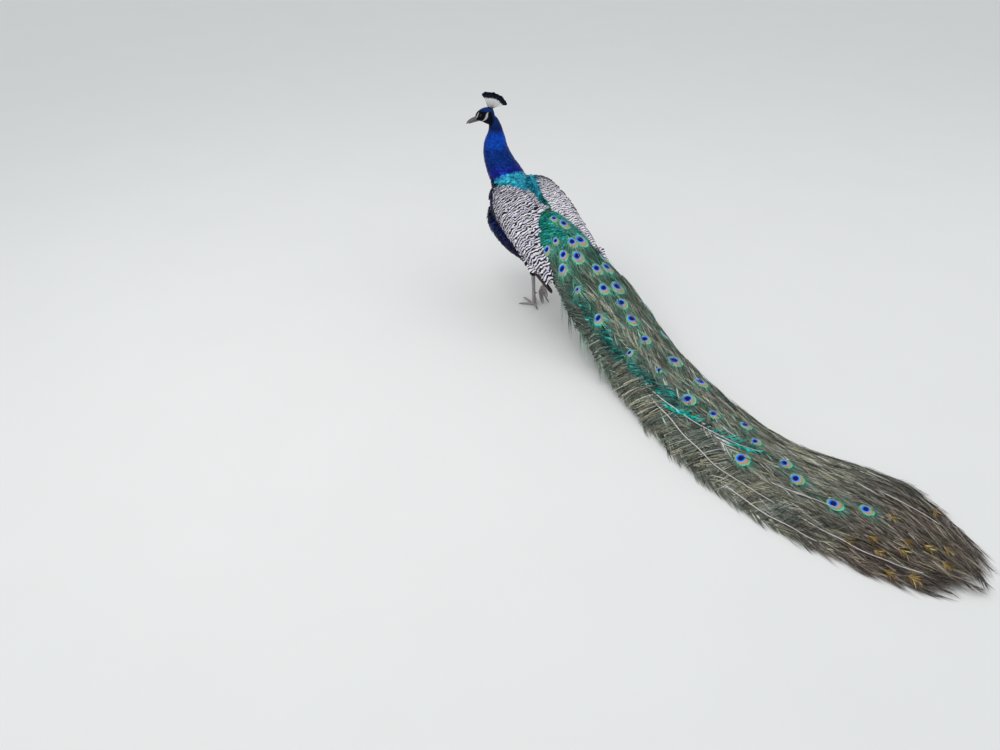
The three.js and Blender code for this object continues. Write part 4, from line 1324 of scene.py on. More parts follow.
class PEACOCK_OT_legs(bpy.types.Operator):
    """Make the bare scaly legs with their toes in one piece each, and the horny claws and spurs"""

    bl_idname = "peacock.legs"
    bl_label = "Legs"

    def execute(self, context):
        c = context.scene.peacock_colours
        skin = scaly_material("leg_scales", rgba(c.leg), rgba(c.leg_dark))
        horn = horn_material("claw_horn", rgba(c.claw), rgba([v * 0.6 for v in c.claw]), 0.45)
        for side in ("left", "right"):
            nodes = [f"shank_{side}", f"foot_{side}"]
            leg = to_object(node_bmesh(*nodes, swell=1.0 * MM), f"leg_{side}")
            merge_solids(leg, 1.1 * MM, 4)
            points, _, normals = mesh_arrays(leg.data)
            height = points[:, 2]
            sole = height.min()
            front = smooth(-normals[:, 1], 0.1, 0.6)
            shin = smooth(height, sole + 0.022, sole + 0.03)
            steps = (height / (5.2 * MM)) % 1
            ridge = np.where(steps < 0.85, steps / 0.85, (1 - steps) / 0.15) * front * shin
            apart = np.hypot(points[:, 0] - points[:, 0].mean(), points[:, 1])
            knuckle = np.sin(apart / (2.6 * MM) * math.pi)
            on_toe, on_top = 1 - shin, smooth(normals[:, 2], 0.2, 0.7)
            bulge = 0.45 * MM * ridge + 0.25 * MM * knuckle * on_toe * on_top - 0.35 * MM
            points += normals * bulge[:, None]
            points[:, 2] = np.maximum(points[:, 2], OVER_FLOOR)
            leg.data.vertices.foreach_set("co", points.ravel())
            leg.data.shade_smooth()
            leg.data.materials.append(skin)
            finish_piece(leg, nodes)
            nodes = [f"claw_{side}_{toe}" for toe in ("inner", "middle", "outer", "hind")]
            nodes.append(f"spur_{side}")
            bm = node_bmesh(*nodes)
            bmesh.ops.subdivide_edges(bm, edges=bm.edges, cuts=2, use_grid_fill=True)
            round_off(bm, 3)
            for v in bm.verts:
                v.co.z = max(v.co.z, OVER_FLOOR)
            bmesh.ops.recalc_face_normals(bm, faces=bm.faces)
            finish_piece(to_object(bm, f"claws_{side}", horn), nodes)
        return {"FINISHED"}


# ------------------------------------------------------------------ train
def even_out(values):
    """Moves each number between its first and last toward its neighbours, in place."""
    values[1:-1] = (values[:-2] + 2 * values[1:-1] + values[2:]) / 4


class TrainTop:
    """The upper face of the train as heights over the floor between its two edges."""

    ROWS, COLUMNS = 170, 41

    def __init__(self):
        surface = Surface.of_nodes(*TRAIN_NODES)
        boxes = [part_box(node) for node in TRAIN_NODES]
        low = np.min([b[0] for b in boxes], 0)
        high = np.max([b[1] for b in boxes], 0)
        self.start, self.end = low[1] + 2 * MM, high[1] - 4 * MM
        xs = np.linspace(low[0] - 1 * MM, high[0] + 1 * MM, 220)
        down = Vector((0, 0, -1))
        self.y = np.linspace(self.start, self.end, self.ROWS)
        rows = []
        for y in self.y:
            found = [surface.tree.ray_cast((x, y, 1.0), down)[0] for x in xs]
            hit = np.array([f is not None for f in found])
            if hit.sum() > 3:
                top = np.array([f[2] for f in found if f is not None])
                left, right = xs[hit].max(), xs[hit].min()
                across = np.linspace(right, left, self.COLUMNS)
                rows.append(np.concatenate([[y, left, right], np.interp(across, xs[hit], top)]))
        rows = ramp(self.y, np.array(rows)[:, 0], rows)
        self.left, self.right, self.heights = rows[:, 1].copy(), rows[:, 2].copy(), rows[:, 3:].copy()
        for _ in range(3):
            for values in (self.left, self.right, self.heights, self.heights.T):
                even_out(values)

    def middle(self, y):
        """Place of the train's middle line, to the left."""
        return np.interp(y, self.y, (self.left + self.right) / 2)

    def half(self, y):
        """Half of the train's width."""
        return np.interp(y, self.y, (self.left - self.right) / 2)

    def place(self, behind, v):
        """Places x, y from the distance behind the hips and the place across the train, -1 to 1."""
        y = np.maximum(HIPS[1] + behind, self.start)
        return self.middle(y) + self.half(y) * v, y

    def height(self, x, y):
        """Height over the floor; past an edge it falls away to the floor."""
        half = self.half(y)
        v = (x - self.middle(y)) / half
        row = np.clip((y - self.start) / (self.end - self.start), 0, 1) * (self.ROWS - 1)
        column = (np.clip(v, -1, 1) + 1) / 2 * (self.COLUMNS - 1)
        i = np.minimum(row.astype(int), self.ROWS - 2)
        j = np.minimum(column.astype(int), self.COLUMNS - 2)
        a, b = row - i, column - j
        near, far = [self.heights[k, j] * (1 - b) + self.heights[k, j + 1] * b for k in (i, i + 1)]
        z = near * (1 - a) + far * a
        past = np.maximum(np.abs(v) - 1, 0) * half
        return np.maximum(z - 1.6 * past, 0.6 * MM)

    def lay(self, x, y, raised):
        """Places over the train at a height above its surface."""
        step = 3 * MM
        slope_x = (self.height(x + step, y) - self.height(x - step, y)) / (2 * step)
        slope_y = (self.height(x, y + step) - self.height(x, y - step)) / (2 * step)
        up = unit(np.stack([-slope_x, -slope_y, np.ones_like(x)], -1))
        points = np.stack([x, y, self.height(x, y)], -1) + up * np.asarray(raised)[..., None]
        points[..., 2] = np.maximum(points[..., 2], 0.5 * MM)
        return points

    def covers(self, points):
        """True for points that lie hidden under the train."""
        x, y, z = points.T
        inside = np.abs(x - self.middle(y)) < self.half(y) * 0.9
        return inside & (z < self.height(x, y) - 4 * MM) & (y > self.start + 20 * MM)

    def unwrap(self, x, y):
        """Places on the bake map."""
        v = (x - self.middle(y)) / self.half(y)
        along = (y - self.start) / (self.end - self.start)
        return np.clip(np.stack([0.5 + 0.45 * v, along], -1), 0.02, 0.98)


TRAIN = TrainTop()


class PEACOCK_OT_train_bed(bpy.types.Operator):
    """Lay the dense under-feathers that carry the train's loose barbs, made dark as painted shade in the
    depths of the train
    """

    bl_idname = "peacock.train_bed"
    bl_label = "Train bed"

    def execute(self, context):
        c = swatches()
        bm = bmesh.new()
        bmesh.ops.create_grid(bm, x_segments=36, y_segments=240, size=0.5)
        for v in bm.verts:
            share, across = v.co.y + 0.5, v.co.x * 2
            y = TRAIN.start + (TRAIN.end - 0.11 * (1 + across**2) - TRAIN.start) * share
            inset = lerp(0.014, 0.030, smooth(share, 0.10, 0.35)) + 0.053 * smooth(share, 0.75, 1.0)
            x = TRAIN.middle(y) + max(TRAIN.half(y) * 0.5, TRAIN.half(y) - inset) * across
            drop = lerp(7, 5, abs(across) ** 3) * MM
            height = TRAIN.height(np.array(x), np.array(y)) - drop
            v.co = Vector((x, y, max(height, 1.2 * MM)))
        bmesh.ops.recalc_face_normals(bm, faces=bm.faces)
        if sum(f.normal.z for f in bm.faces) < 0:
            bmesh.ops.reverse_faces(bm, faces=bm.faces)
        bmesh.ops.solidify(bm, geom=bm.faces, thickness=4 * MM)
        for v in bm.verts:
            v.co.z = max(v.co.z, 0.3 * MM)
        bed = to_object(bm, "train_bed")
        points, _, _ = mesh_arrays(bed.data)
        # Painted shade: the bed takes the train's own colours at 0.3 of their brightness.
        set_colour(bed.data, 0.3 * train_colour(points, c))
        n = Nodes("train_bed")
        base = n.attribute("plumage").outputs["Color"]
        place = n.add("ShaderNodeMapping", {"Vector": n.object_place(), "Scale": (420.0, 26.0, 26.0)})
        hair = n.noise(place, 1.0, 3.0)
        tone = n.dimmed(n.between(hair, 0.35, 0.65), base, (0.4, 0.4, 0.4))
        n.bump(hair, 0.5, 0.0015)
        bed.data.materials.append(n.finish(tone, Roughness=0.7, Specular_IOR_Level=0.1))
        finish_piece(bed, TRAIN_NODES)
        return {"FINISHED"}


def train_colour(points, c):
    """Ground colour along the train, from emerald through olive brown to bronze at the end."""
    olive, green, bronze = c["olive"], c["olive_green"], c["bronze"]
    tones = {
        0.0: c["emerald"] * 0.8, 0.12: green * 0.9, 0.26: blend(olive, green, 0.45) * 0.85,
        0.5: olive * 0.9, 1.0: olive, 1.28: olive, 1.5: bronze, 1.75: bronze * 0.65,
    }
    return ramp((points - HIPS)[:, 1], list(tones), list(tones.values()))


# A barb is a ribbon of three cells whose last one ends in a point.
BARB_FACES = np.array([(0, 1, 3), (0, 3, 2), (2, 3, 5), (2, 5, 4), (4, 5, 6)])
BARB_STOPS = np.array([0, 0.3, 0.65, 1.0])
BARB_SHARE = np.append(np.repeat(BARB_STOPS[:3], 2), 1.0)
BARB_VANE = np.stack([[0, 1, 0, 1, 0, 1, 0.5], BARB_SHARE], 1)
CLUMP = 4  # barbs that cling together


class Shaft:
    """The line of a train feather seen from above, over the stretch that shows, ending at its tip."""

    STOPS = 48

    def __init__(self, y_tip, v_tip, visible, sway):
        s = np.linspace(0, 1, self.STOPS)
        self.follow(y_tip - visible * (1 - s), v_tip + sway * np.sin(math.pi * s))

    @classmethod
    def through(cls, *stops):
        """A shaft through places (distance behind the hips, place across from -1 to 1)."""
        shaft = cls.__new__(cls)
        s = np.linspace(0, 1, cls.STOPS)
        keys = np.linspace(0, 1, len(stops))
        y, v = [np.interp(s, keys, [stop[k] for stop in stops]) for k in (0, 1)]
        for _ in range(30):
            even_out(v)
        shaft.follow(y, v)
        return shaft

    def follow(self, y, v):
        """Lays the shaft through distances behind the hips and places across."""
        self.visible = float(y[-1] - y[0])
        x, y = TRAIN.place(y, v)
        ahead, aside = np.gradient(y), np.gradient(x)
        size = np.hypot(aside, ahead) + 1e-9
        self.line = x, y, aside / size, ahead / size

    def at(self, t):
        """Place x, y and direction x, y at t, from 0 at the root to 1 at the tip."""
        s = np.linspace(0, 1, self.STOPS)
        return [np.interp(t, s, values) for values in self.line]


class Strewn:
    """Roots of loose barbs strewn over a stretch of the train, each pointing along it."""

    def __init__(self, y, v):
        self.x, self.y = TRAIN.place(y, v)
        step = 10 * MM
        ahead, back = [TRAIN.middle(self.y + d) + TRAIN.half(self.y + d) * v for d in (step, -step)]
        slope = (ahead - back) / (2 * step)
        size = np.hypot(slope, 1)
        self.tx, self.ty = slope / size, 1 / size

    def at(self, _t):
        """The same as for a shaft, but each barb has a root of its own."""
        return [self.x, self.y, self.tx, self.ty]


def rise(t, top):
    """Height of a shaft over the train: it comes out from under its neighbours toward its tip."""
    return lerp(-3 * MM, top, np.clip(t, 0, 1) ** 0.8)


def ribbons(x, y, height, side_x, side_y, side_height):
    """Corners of barbs from their middle lines: one to each side at three stops, and one at the tip."""
    columns = []
    for middle, side in ((x, side_x), (y, side_y), (height, side_height)):
        pairs = [middle[:, k] + side[:, k] * sign for k in range(3) for sign in (-1, 1)]
        columns.append(np.stack([*pairs, middle[:, 3]], 1))
    return columns


def barbs_along(
    flock, shaft, rng, t, side, length, angle, width, top, base, tip, droop=3 * MM, open_out=0.45
):
    """Ribbons that leave a shaft at t on one side, in colours of their own or shared by all."""
    count = len(t)
    side = np.broadcast_to(side, (count,))[:, None]
    x, y, tx, ty = shaft.at(t)
    length = length * rng.uniform(0.75, 1.15, count)
    clump = np.arange(count) // CLUMP

    def by_clump(spread):
        """Random numbers that the barbs of a clump share."""
        return rng.normal(0, spread, clump.max() + 1 if count else 0)[clump]

    angle = angle + rng.normal(0, 0.04, count) + by_clump(0.10)
    tau = BARB_STOPS[None]
    bend = angle[:, None] * (1 - open_out * tau / 2)
    heading = angle[:, None] * (1 - open_out * tau)
    ahead = np.cos(bend) * tau * length[:, None]
    aside = np.sin(bend) * tau * length[:, None] * side
    tx, ty = tx[:, None], ty[:, None]
    px = x[:, None] + tx * ahead - ty * aside
    py = y[:, None] + ty * ahead + tx * aside
    wide = width * rng.uniform(0.7, 1.3, count)[:, None] * np.array([0.5, 0.5, 0.38, 0.0])
    ax = tx * -np.sin(heading) * side - ty * np.cos(heading)
    ay = ty * -np.sin(heading) * side + tx * np.cos(heading)
    lift = rng.normal(0, 0.5 * MM, count) + by_clump(1.6 * MM)
    raised = rise(t, top)[:, None] - droop * tau**1.5 + lift[:, None] * (0.3 + tau)
    twist = rng.normal(0, 0.5, count)[:, None]
    points = TRAIN.lay(*ribbons(px, py, raised, ax * wide, ay * wide, wide * twist))
    tone = np.exp(rng.normal(-0.16, 0.25, count) + by_clump(0.60))[:, None, None]
    base, tip = [np.broadcast_to(tint, (count, 3))[:, None] for tint in (base, tip)]
    colours = lerp(base, tip, BARB_SHARE[:, None]) * tone
    flock.add(points, BARB_FACES, colours, BARB_VANE, TRAIN.unwrap(x, y))


def shaft_tube(flock, shaft, top, thick, thin, tint, last=1.0, stops=22):
    """The shaft itself as a thin ridge."""
    t = np.linspace(0.0, last, stops)
    x, y, tx, ty = shaft.at(t)
    radius = lerp(thick, thin, t) / 2
    corners = [
        TRAIN.lay(x - ty * radius * a, y + tx * radius * a, rise(t, top) + radius * b)
        for a, b in ((-1, 0.0), (0, 1.0), (1, 0.0))
    ]
    vane = np.stack([np.full(stops * 3, 0.5), np.repeat(t, 3)], 1)
    points = np.stack(corners, 1).reshape(1, -1, 3)
    flock.add(points, tube_faces(stops), tint, vane, TRAIN.unwrap(x[-1:], y[-1:]))


def disc_shape(rings=(0.3, 0.6, 0.85, 1.0), sides=22):
    """Places (across, along) of a round disc and its triangles."""
    turns = [2 * math.pi * k / sides for k in range(sides)]
    places = [(0.0, 0.0)] + [(r * math.sin(turn), r * math.cos(turn)) for r in rings for turn in turns]
    beside = [(k, (k + 1) % sides) for k in range(sides)]
    faces = [(0, 1 + b, 1 + a) for a, b in beside]
    for i in range(len(rings) - 1):
        faces += quads(1 + i * sides, sides, beside)
    return np.array(places), np.array(faces)


DISC = disc_shape()
EYE_PATCH = 0.016  # an eye's patch on the bake map, near its true share of the train


def eye_disc(flock, shaft, rng, top, length, width):
    """The flat eye at a train feather's tip."""
    places, faces = DISC
    x, y, tx, ty = shaft.at(np.array([1.0]))
    rough = 1 + np.where(np.hypot(*places.T) > 0.95, rng.normal(0, 0.035, len(places)), 0)
    across, along = places[:, 0] * width / 2 * rough, places[:, 1] * length / 2 * rough
    px = x + tx * along - ty * across
    py = y + ty * along + tx * across
    dome = 1 - (places**2).sum(1)
    lean = rng.normal(0, 0.06)
    points = TRAIN.lay(px, py, top + 1.6 * MM * dome + lean * across)[None]
    flock.add(points, faces, np.ones(3), 0.5 + 0.5 * places, TRAIN.unwrap(x, y), patch=EYE_PATCH)


def ring_barbs(flock, shaft, rng, top, length, width, c, bright):
    """Barbs that stream from an eye's rim toward the tip."""
    count, widest = 80, 2.7
    turn = rng.uniform(-widest, widest, count)
    x, y, tx, ty = shaft.at(np.array([1.0]))
    start = 0.86
    sx, sy = np.sin(turn) * width / 2 * start, np.cos(turn) * length / 2 * start
    out = unit(np.stack([np.sin(turn) * 0.75, np.cos(turn) + 0.95], 1))
    reach = rng.uniform(16, 44, count) * MM * (1.15 - 0.45 * np.abs(turn) / widest)
    tau = BARB_STOPS[None]
    ax = sx[:, None] + out[:, :1] * reach[:, None] * tau * (1 - 0.25 * tau)
    ay = sy[:, None] + out[:, 1:] * reach[:, None] * tau
    wide = 0.75 * MM * np.array([[1, 1, 0.7, 0]])
    raised = top + 0.8 * MM - 4 * MM * tau + rng.normal(0, 0.5 * MM, count)[:, None]
    u, v, height = ribbons(ax, ay, raised, -out[:, 1:] * wide, out[:, :1] * wide, 0 * raised)
    points = TRAIN.lay(x + tx * v - ty * u, y + ty * v + tx * u, height)
    tone = np.exp(rng.normal(-0.1, 0.45, count))[:, None, None]
    near = lerp(c["olive_green"], c["mint"] * 0.55, bright)
    far = lerp(c["olive"], c["olive_green"], 0.3 + 0.5 * bright)
    colours = lerp(near, far, np.minimum(BARB_SHARE[:, None] * 1.8, 1)) * tone
    spot = np.broadcast_to(TRAIN.unwrap(x, y), (count, 2))
    flock.add(points, BARB_FACES, colours, BARB_VANE, spot)


# Pieces that the loose barbs are shared out to, and how far behind the hips each next one starts.
TIERS = ("train_barbs_upper", "train_barbs_middle", "train_barbs_lower", "train_barbs_end")
TIER_STARTS = (0.45, 0.95, 1.38)
TINT_SHARE = 0.94  # how far a feather's own tint hides the ground colour


def tier_number(behind):
    """Number of the piece for a distance behind the hips, or for many."""
    return np.searchsorted(TIER_STARTS, behind)


class PEACOCK_OT_train(bpy.types.Operator):
    """Lay the long feathers of the train in tiers: eyed ones, swords, hanging edges and forked ends"""

    bl_idname = "peacock.train"
    bl_label = "Train feathers"

    def execute(self, context):
        c = swatches()
        sizes = context.scene.peacock_sizes
        rng = np.random.default_rng(23)
        tiers = [Flock() for _ in TIERS]
        shafts, spots = Flock(), Flock()

        def spaced(shaft, gap, last=1.0, first=0.0):
            """Places of barbs on a shaft, a little crowded in clumps."""
            count = max(1, int(shaft.visible * (last - first) / gap))
            crowded = (np.arange(count) // CLUMP + 0.5) * CLUMP - 0.5
            even = np.arange(count) + rng.random(count)
            return np.clip(first + (last - first) * lerp(even, crowded, 0.35) / count, first, last)

        def strew(
            count, ys, vs, length, angle, tint, side, top=6 * MM, width=1.3 * MM, open_out=0.4
        ):
            """Loose barbs in clumps, between two distances behind the hips and two places across."""
            clumps = count // CLUMP
            y = np.repeat(rng.uniform(*ys, clumps), CLUMP)
            y += rng.normal(0, 2.5 * MM, CLUMP * clumps)
            low, high = [np.interp(y, *edge) if np.ndim(edge) else edge for edge in vs]
            v = lerp(low, high, np.repeat(rng.random(clumps), CLUMP))
            v += rng.normal(0, 0.012, CLUMP * clumps)
            roots = Strewn(y, v)
            base = train_colour(np.stack([roots.x, roots.y, 0 * y], 1), c)
            base = blend(base, tint, 0.85)
            sides = side if side else np.repeat(rng.choice([-1, 1], clumps), CLUMP)
            split = np.repeat(tier_number(y[::CLUMP]), CLUMP)
            for k, flock in enumerate(tiers):
                own = split == k
                some = Strewn(y[own], v[own])
                aside = side if side else sides[own]
                barbs_along(
                    flock, some, rng, rng.random(own.sum()), aside, length, angle, width, top,
                    base[own] * 0.8, base[own] * 1.2, 2 * MM, open_out,
                )

        def feather(
            y_tip, v_tip, visible, top, length, angle, tint=None, sides=(1, -1), gap=sizes.barb_gap,
            width=sizes.barb_width, last=1.0, open_out=0.45,
        ):
            """A feather that ends at a place. Without a tint it is more or less green."""
            shaft = Shaft(y_tip, v_tip, visible, rng.normal(0, 0.02))
            own_tone = math.exp(rng.normal(-0.05, 0.34))
            own_green = rng.random() ** 2 * 0.7 * (1 - float(smooth(y_tip, 0.7, 1.3)))
            over = (c["olive_green"], own_green) if tint is None else (tint, TINT_SHARE)
            for side in sides:
                t = spaced(shaft, gap, last)
                x, y, _, _ = shaft.at(t)
                mixed = blend(train_colour(np.stack([x, y, 0 * x], 1), c) * own_tone, *over)
                barbs_along(
                    tiers[tier_number(y_tip)], shaft, rng, t, side, length * (1 - 0.55 * t**3), angle,
                    width, top, mixed * 0.75, mixed * 1.25, 3 * MM, open_out,
                )
            return shaft

        # Plain and forked feathers of the far end, the lowest tier.
        for i in range(40):
            v_tip = ((i * GOLDEN_STEP) % 1) * 1.84 - 0.92
            y_tip = 1.755 - 0.30 * (i % 7) / 6 - 0.14 * v_tip**2
            shaft = feather(y_tip, v_tip, 0.66, 5 * MM, 0.066, 0.34, gap=0.0032, width=0.0012)
            shaft_tube(shafts, shaft, 4.5 * MM, 1.6 * MM, 0.7 * MM, c["shaft_brown"])
        for y_tip, v_tip in FORKS:
            shaft = Shaft(y_tip, v_tip, 0.4, 0.02)
            self.fork(tiers[tier_number(y_tip)], shaft, rng, c)
        # Plain feathers that fill between the eyes.
        count = 84
        for i in range(count):
            y_tip = 0.12 + 1.44 * (i + rng.random()) / count
            v_tip = ((i * GOLDEN_STEP + 0.3) % 1) * 1.76 - 0.88
            visible = min(0.42, 0.10 + 0.5 * y_tip)
            shaft = feather(y_tip, v_tip, visible, 5 * MM, sizes.barb_length, 0.34)
            shaft_tube(shafts, shaft, 4.5 * MM, 1.2 * MM, 0.5 * MM, c["shaft_brown"])
        # Barbs that hang from the sides to the floor, longest on the left.
        hanging, sword, blade = c["hanging"], c["sword"], c["blade"]
        strew(4200, (0.50, 1.12), (BAND_OUTER, 0.86), 0.088, 1.22, hanging, 1, open_out=0.15)
        strew(3800, (0.24, 1.45), (BAND_OUTER, 0.97), 0.055, 1.10, hanging, 1, open_out=0.2)
        # Pale straw barbs: painted highlights where barbs catch the light.
        pale = c["straw"] * 0.8
        strew(900, (0.55, 1.25), (0.68, 0.98), 0.080, 1.15, pale, 1, 8 * MM, 0.9 * MM, 0.25)
        band = (BAND_INNER, BAND_OUTER)
        strew(2600, (0.25, 0.86), band, 0.040, 0.75, sword * 0.7, 1, 7 * MM, 1.5 * MM)
        strew(3000, (0.16, 1.45), (-1.0, -0.80), 0.070, 0.34, hanging * 0.8, -1)
        strew(1600, (0.09, 0.36), (0.80, 0.98), 0.062, 0.55, hanging * 0.8, 1, width=1.6 * MM)
        # Short scale-like feathers where the train starts.
        self.scales(c, rng)
        # Loose brown strands that fan out to the far end.
        strew(3600, (1.30, 1.66), (-0.95, 0.95), 0.085, 0.22, c["bronze"] * 0.8, 0)
        # Pale straw barbs among them, painted highlights of barbs catching the light.
        strew(1200, (1.05, 1.66), (-0.90, 0.95), 0.085, 0.18, c["straw"], 0, 8 * MM, 0.8 * MM)
        # Sword feathers along the left side of the raised part, and fewer on the right.
        count = 46
        for k in range(count):
            y_tip = 0.30 + 0.57 * (k + 0.5) / count
            v_tip = ramp(y_tip, *SWORD_LINE) + rng.normal(0, 0.03)
            tint = sword * math.exp(rng.normal(0, 0.3))
            self.sword(shafts, feather, tint, y_tip, v_tip, 0.12, 0.040, 1)
        for stops in BLADES:
            shaft = Shaft.through(*stops)
            for side in (1, -1):
                t = spaced(shaft, 1 * MM)
                barbs_along(
                    tiers[1], shaft, rng, t, side, 0.020, 0.42, 2.2 * MM, 11 * MM, blade, blade, 1 * MM
                )
        comb = Shaft.through(*LONG_SHAFTS[1])
        t = spaced(comb, 4.2 * MM, 0.96, 0.35)
        barbs_along(
            tiers[1], comb, rng, t, 1, 0.044, 1.15, 2.4 * MM, 11 * MM, sword, blade, 2 * MM, 0.1
        )
        for k in range(10):
            y_tip, v_tip = 0.26 + 0.09 * k, -0.84 + 0.02 * k
            self.sword(shafts, feather, sword * 0.7, y_tip, v_tip, 0.16, 0.034, -1)
        # Eyed feathers in staggered tiers, the shortest on top.
        for behind, v_tip, size in sorted(EYED, reverse=True):
            y_tip = behind + 0.008
            visible = min(0.36, 0.09 + 0.42 * y_tip)
            top, reach = 9 * MM, sizes.barb_length * 0.9
            length, width = sizes.eye_length * size, sizes.eye_width * size
            shaft = feather(y_tip, v_tip, visible, top, reach, 0.36, last=1 - 0.02 / visible)
            flock = tiers[tier_number(y_tip)]
            t = spaced(shaft, 2.6 * MM, 1.0, 1 - 0.075 / visible)
            bright = lerp(1.0, 0.15, smooth(y_tip, 0.25, 0.8))
            tip = lerp(c["olive"], c["mint"] * 0.34, bright)
            for side in (1, -1):
                barbs_along(
                    flock, shaft, rng, t, side, 0.044 * size, 0.50, 1.4 * MM, top,
                    c["olive_green"] * 0.8, tip, 1 * MM,
                )
            shaft_tube(shafts, shaft, top, 1.2 * MM, 0.6 * MM, c["shaft_brown"], last=0.97)
            eye_disc(spots, shaft, rng, top, length, width)
            ring_barbs(flock, shaft, rng, top, length, width, c, bright)
        # Wisps that cross the lower eyes, and long bare shafts on top of all.
        inner, olive = BAND_INNER, c["olive"] * 0.8
        strew(1300, (0.08, 1.5), (-0.90, inner), 0.075, 0.16, olive, 0, 12 * MM, 1.1 * MM)
        # The straw barbs are painted highlights of barbs catching the light.
        strew(1900, (0.18, 1.3), (-0.95, inner), 0.080, 0.24, c["straw"], 0, 9 * MM, 0.8 * MM)
        for stops in LONG_SHAFTS:
            shaft = Shaft.through(*stops)
            shaft_tube(shafts, shaft, 15 * MM, 4.2 * MM, 2.0 * MM, c["shaft"], stops=40)
        strands = strand_material("train_strands", 0.25, 0.48)
        for name, flock in zip(TIERS, tiers):
            flock.build(name, strands, "train_plumage")
        shafts.build("train_shafts", strand_material("train_shaft_horn", 0.0, 0.5), "train_plumage")
        spots.build("train_eyes", eye_spot_material("train_eye_spots"), "train_plumage")
        return {"FINISHED"}

    @staticmethod
    def scales(c, rng):
        """Close green scales where the train starts, dark at the root as painted shade where the next
        scale covers it, with bright rims.
        """
        surface = Surface.of_nodes("train_root")
        count = 320
        share = (np.arange(count) + rng.random(count)) / count
        y = 0.002 + 0.12 * share**1.25
        v = ((np.arange(count) * GOLDEN_STEP) % 1) * 1.9 - 0.95
        roots = Strewn(y, v)
        places = TRAIN.lay(roots.x, roots.y, 0.0)
        _, ups, _ = surface.nearest(places)
        ups[ups[:, 2] < 0.2] = (0.0, 0.3, 1.0)
        along = np.stack([roots.tx + 0.30 * v, roots.ty, np.full(count, -0.35)], 1)
        ups = unit(ups)
        along = along_surface(along, ups)
        length = lerp(20, 34, share) * MM * rng.uniform(0.85, 1.15, count)
        low = lerp(3, 2, share) * MM
        laid = lay_vanes(
            surface, places, ups, along, length, length * 0.34, low, low + 7 * MM, BODY_VANE
        )
        rim = smooth(BODY_VANE[0][:, 0], 0.45, 0.95)[None, :, None]
        tone = np.exp(rng.normal(0, 0.3, count))[:, None, None]
        tint = blend(c["emerald"], c["teal"], rng.random(count) * 0.3)[:, None]
        # Painted shade: each scale is dark toward its root, under the next scale.
        own = lerp(tint * 0.32, tint * 1.2, rim) * tone
        flock = Flock()
        flock.add_vanes(laid, BODY_VANE, own, TRAIN.unwrap(roots.x, roots.y))
        material = contour_material("train_scales", 0.4, 0.45, 10)
        flock.build("train_scales", material, "train_plumage")

    @staticmethod
    def sword(shafts, lay, tint, y_tip, v_tip, visible, length, side):
        """A sword feather: close bright barbs on its outer side only."""
        shaft = lay(
            y_tip, v_tip, visible, 9 * MM, length, 0.85, tint, (side,),
            gap=2.0 * MM, width=1.8 * MM, open_out=0.5,
        )
        shaft_tube(shafts, shaft, 8 * MM, 1.2 * MM, 0.6 * MM, tint * 0.5)

    @staticmethod
    def fork(flock, shaft, rng, c):
        """The forked tip of an end feather: barbs that open in a V, gold inside and brown outside."""
        count = 26
        t = np.full(count, 0.985) + rng.uniform(-0.025, 0.015, count)
        for side in (1, -1):
            spread = rng.uniform(0.1, 0.7, count)
            length = 0.017 + 0.022 * spread
            gold = blend(c["gold"], c["bronze"], rng.random(count) * 0.6)
            brown = c["bronze"] * 0.5
            barbs_along(
                flock, shaft, rng, t, side, length, spread, 1.7 * MM, 8 * MM, gold, brown, 1 * MM, -0.6
            )


# Tips of the eyed feathers: distance behind the hips, place across from -1 to 1, and size.
EYED = [
    (0.07, -0.24, 0.85), (0.04, 0.03, 0.60), (0.14, -0.29, 1.02), (0.14, 0.04, 0.80),
    (0.11, 0.51, 0.50), (0.19, 0.19, 0.95), (0.16, 0.48, 0.70), (0.11, 0.86, 0.55),
    (0.19, 0.67, 0.72), (0.25, -0.04, 0.90), (0.25, -0.35, 0.95), (0.20, -0.62, 0.80),
    (0.33, -0.20, 1.05), (0.32, 0.14, 0.85), (0.27, 0.62, 0.45), (0.39, -0.02, 0.90),
    (0.39, 0.56, 0.75), (0.46, -0.01, 1.05), (0.53, -0.58, 0.80), (0.55, 0.05, 0.85),
    (0.56, 0.46, 0.50), (0.67, -0.21, 1.10), (0.78, -0.38, 1.05), (0.83, 0.17, 1.00),
    (0.68, 0.22, 0.50), (0.92, -0.02, 0.82), (1.00, -0.35, 0.85), (1.07, -0.15, 0.70),
    (1.10, 0.33, 1.00), (1.18, -0.04, 0.80), (1.24, 0.14, 0.90), (1.36, 0.25, 1.00),
    (1.42, 0.06, 0.85), (0.38, -0.82, 0.85), (0.66, -0.84, 0.85),
]
# Where the sword feathers end along the left side: distance behind the hips, and place across.
SWORD_LINE = (
    (0.20, 0.30, 0.39, 0.47, 0.55, 0.63, 0.75, 0.88),
    (0.80, 0.75, 0.68, 0.64, 0.62, 0.55, 0.46, 0.28),
)
# Both edges of the teal band that those feathers make.
BAND_OUTER = (
    (0.16, 0.23, 0.31, 0.39, 0.46, 0.53, 0.60, 0.75, 0.88),
    (0.95, 0.93, 0.85, 0.77, 0.79, 0.75, 0.69, 0.62, 0.60),
)
BAND_INNER = (
    (0.16, 0.21, 0.30, 0.39, 0.47, 0.55, 0.63, 0.75, 0.88),
    (0.75, 0.69, 0.65, 0.58, 0.55, 0.53, 0.45, 0.38, 0.26),
)
# Bright narrow feathers on top, through (distance behind the hips, place across).
BLADES = (
    ((0.68, 0.66), (0.75, 0.57), (0.82, 0.51), (0.90, 0.34)),
    ((0.97, 0.32), (1.04, 0.22), (1.11, 0.02)),
)
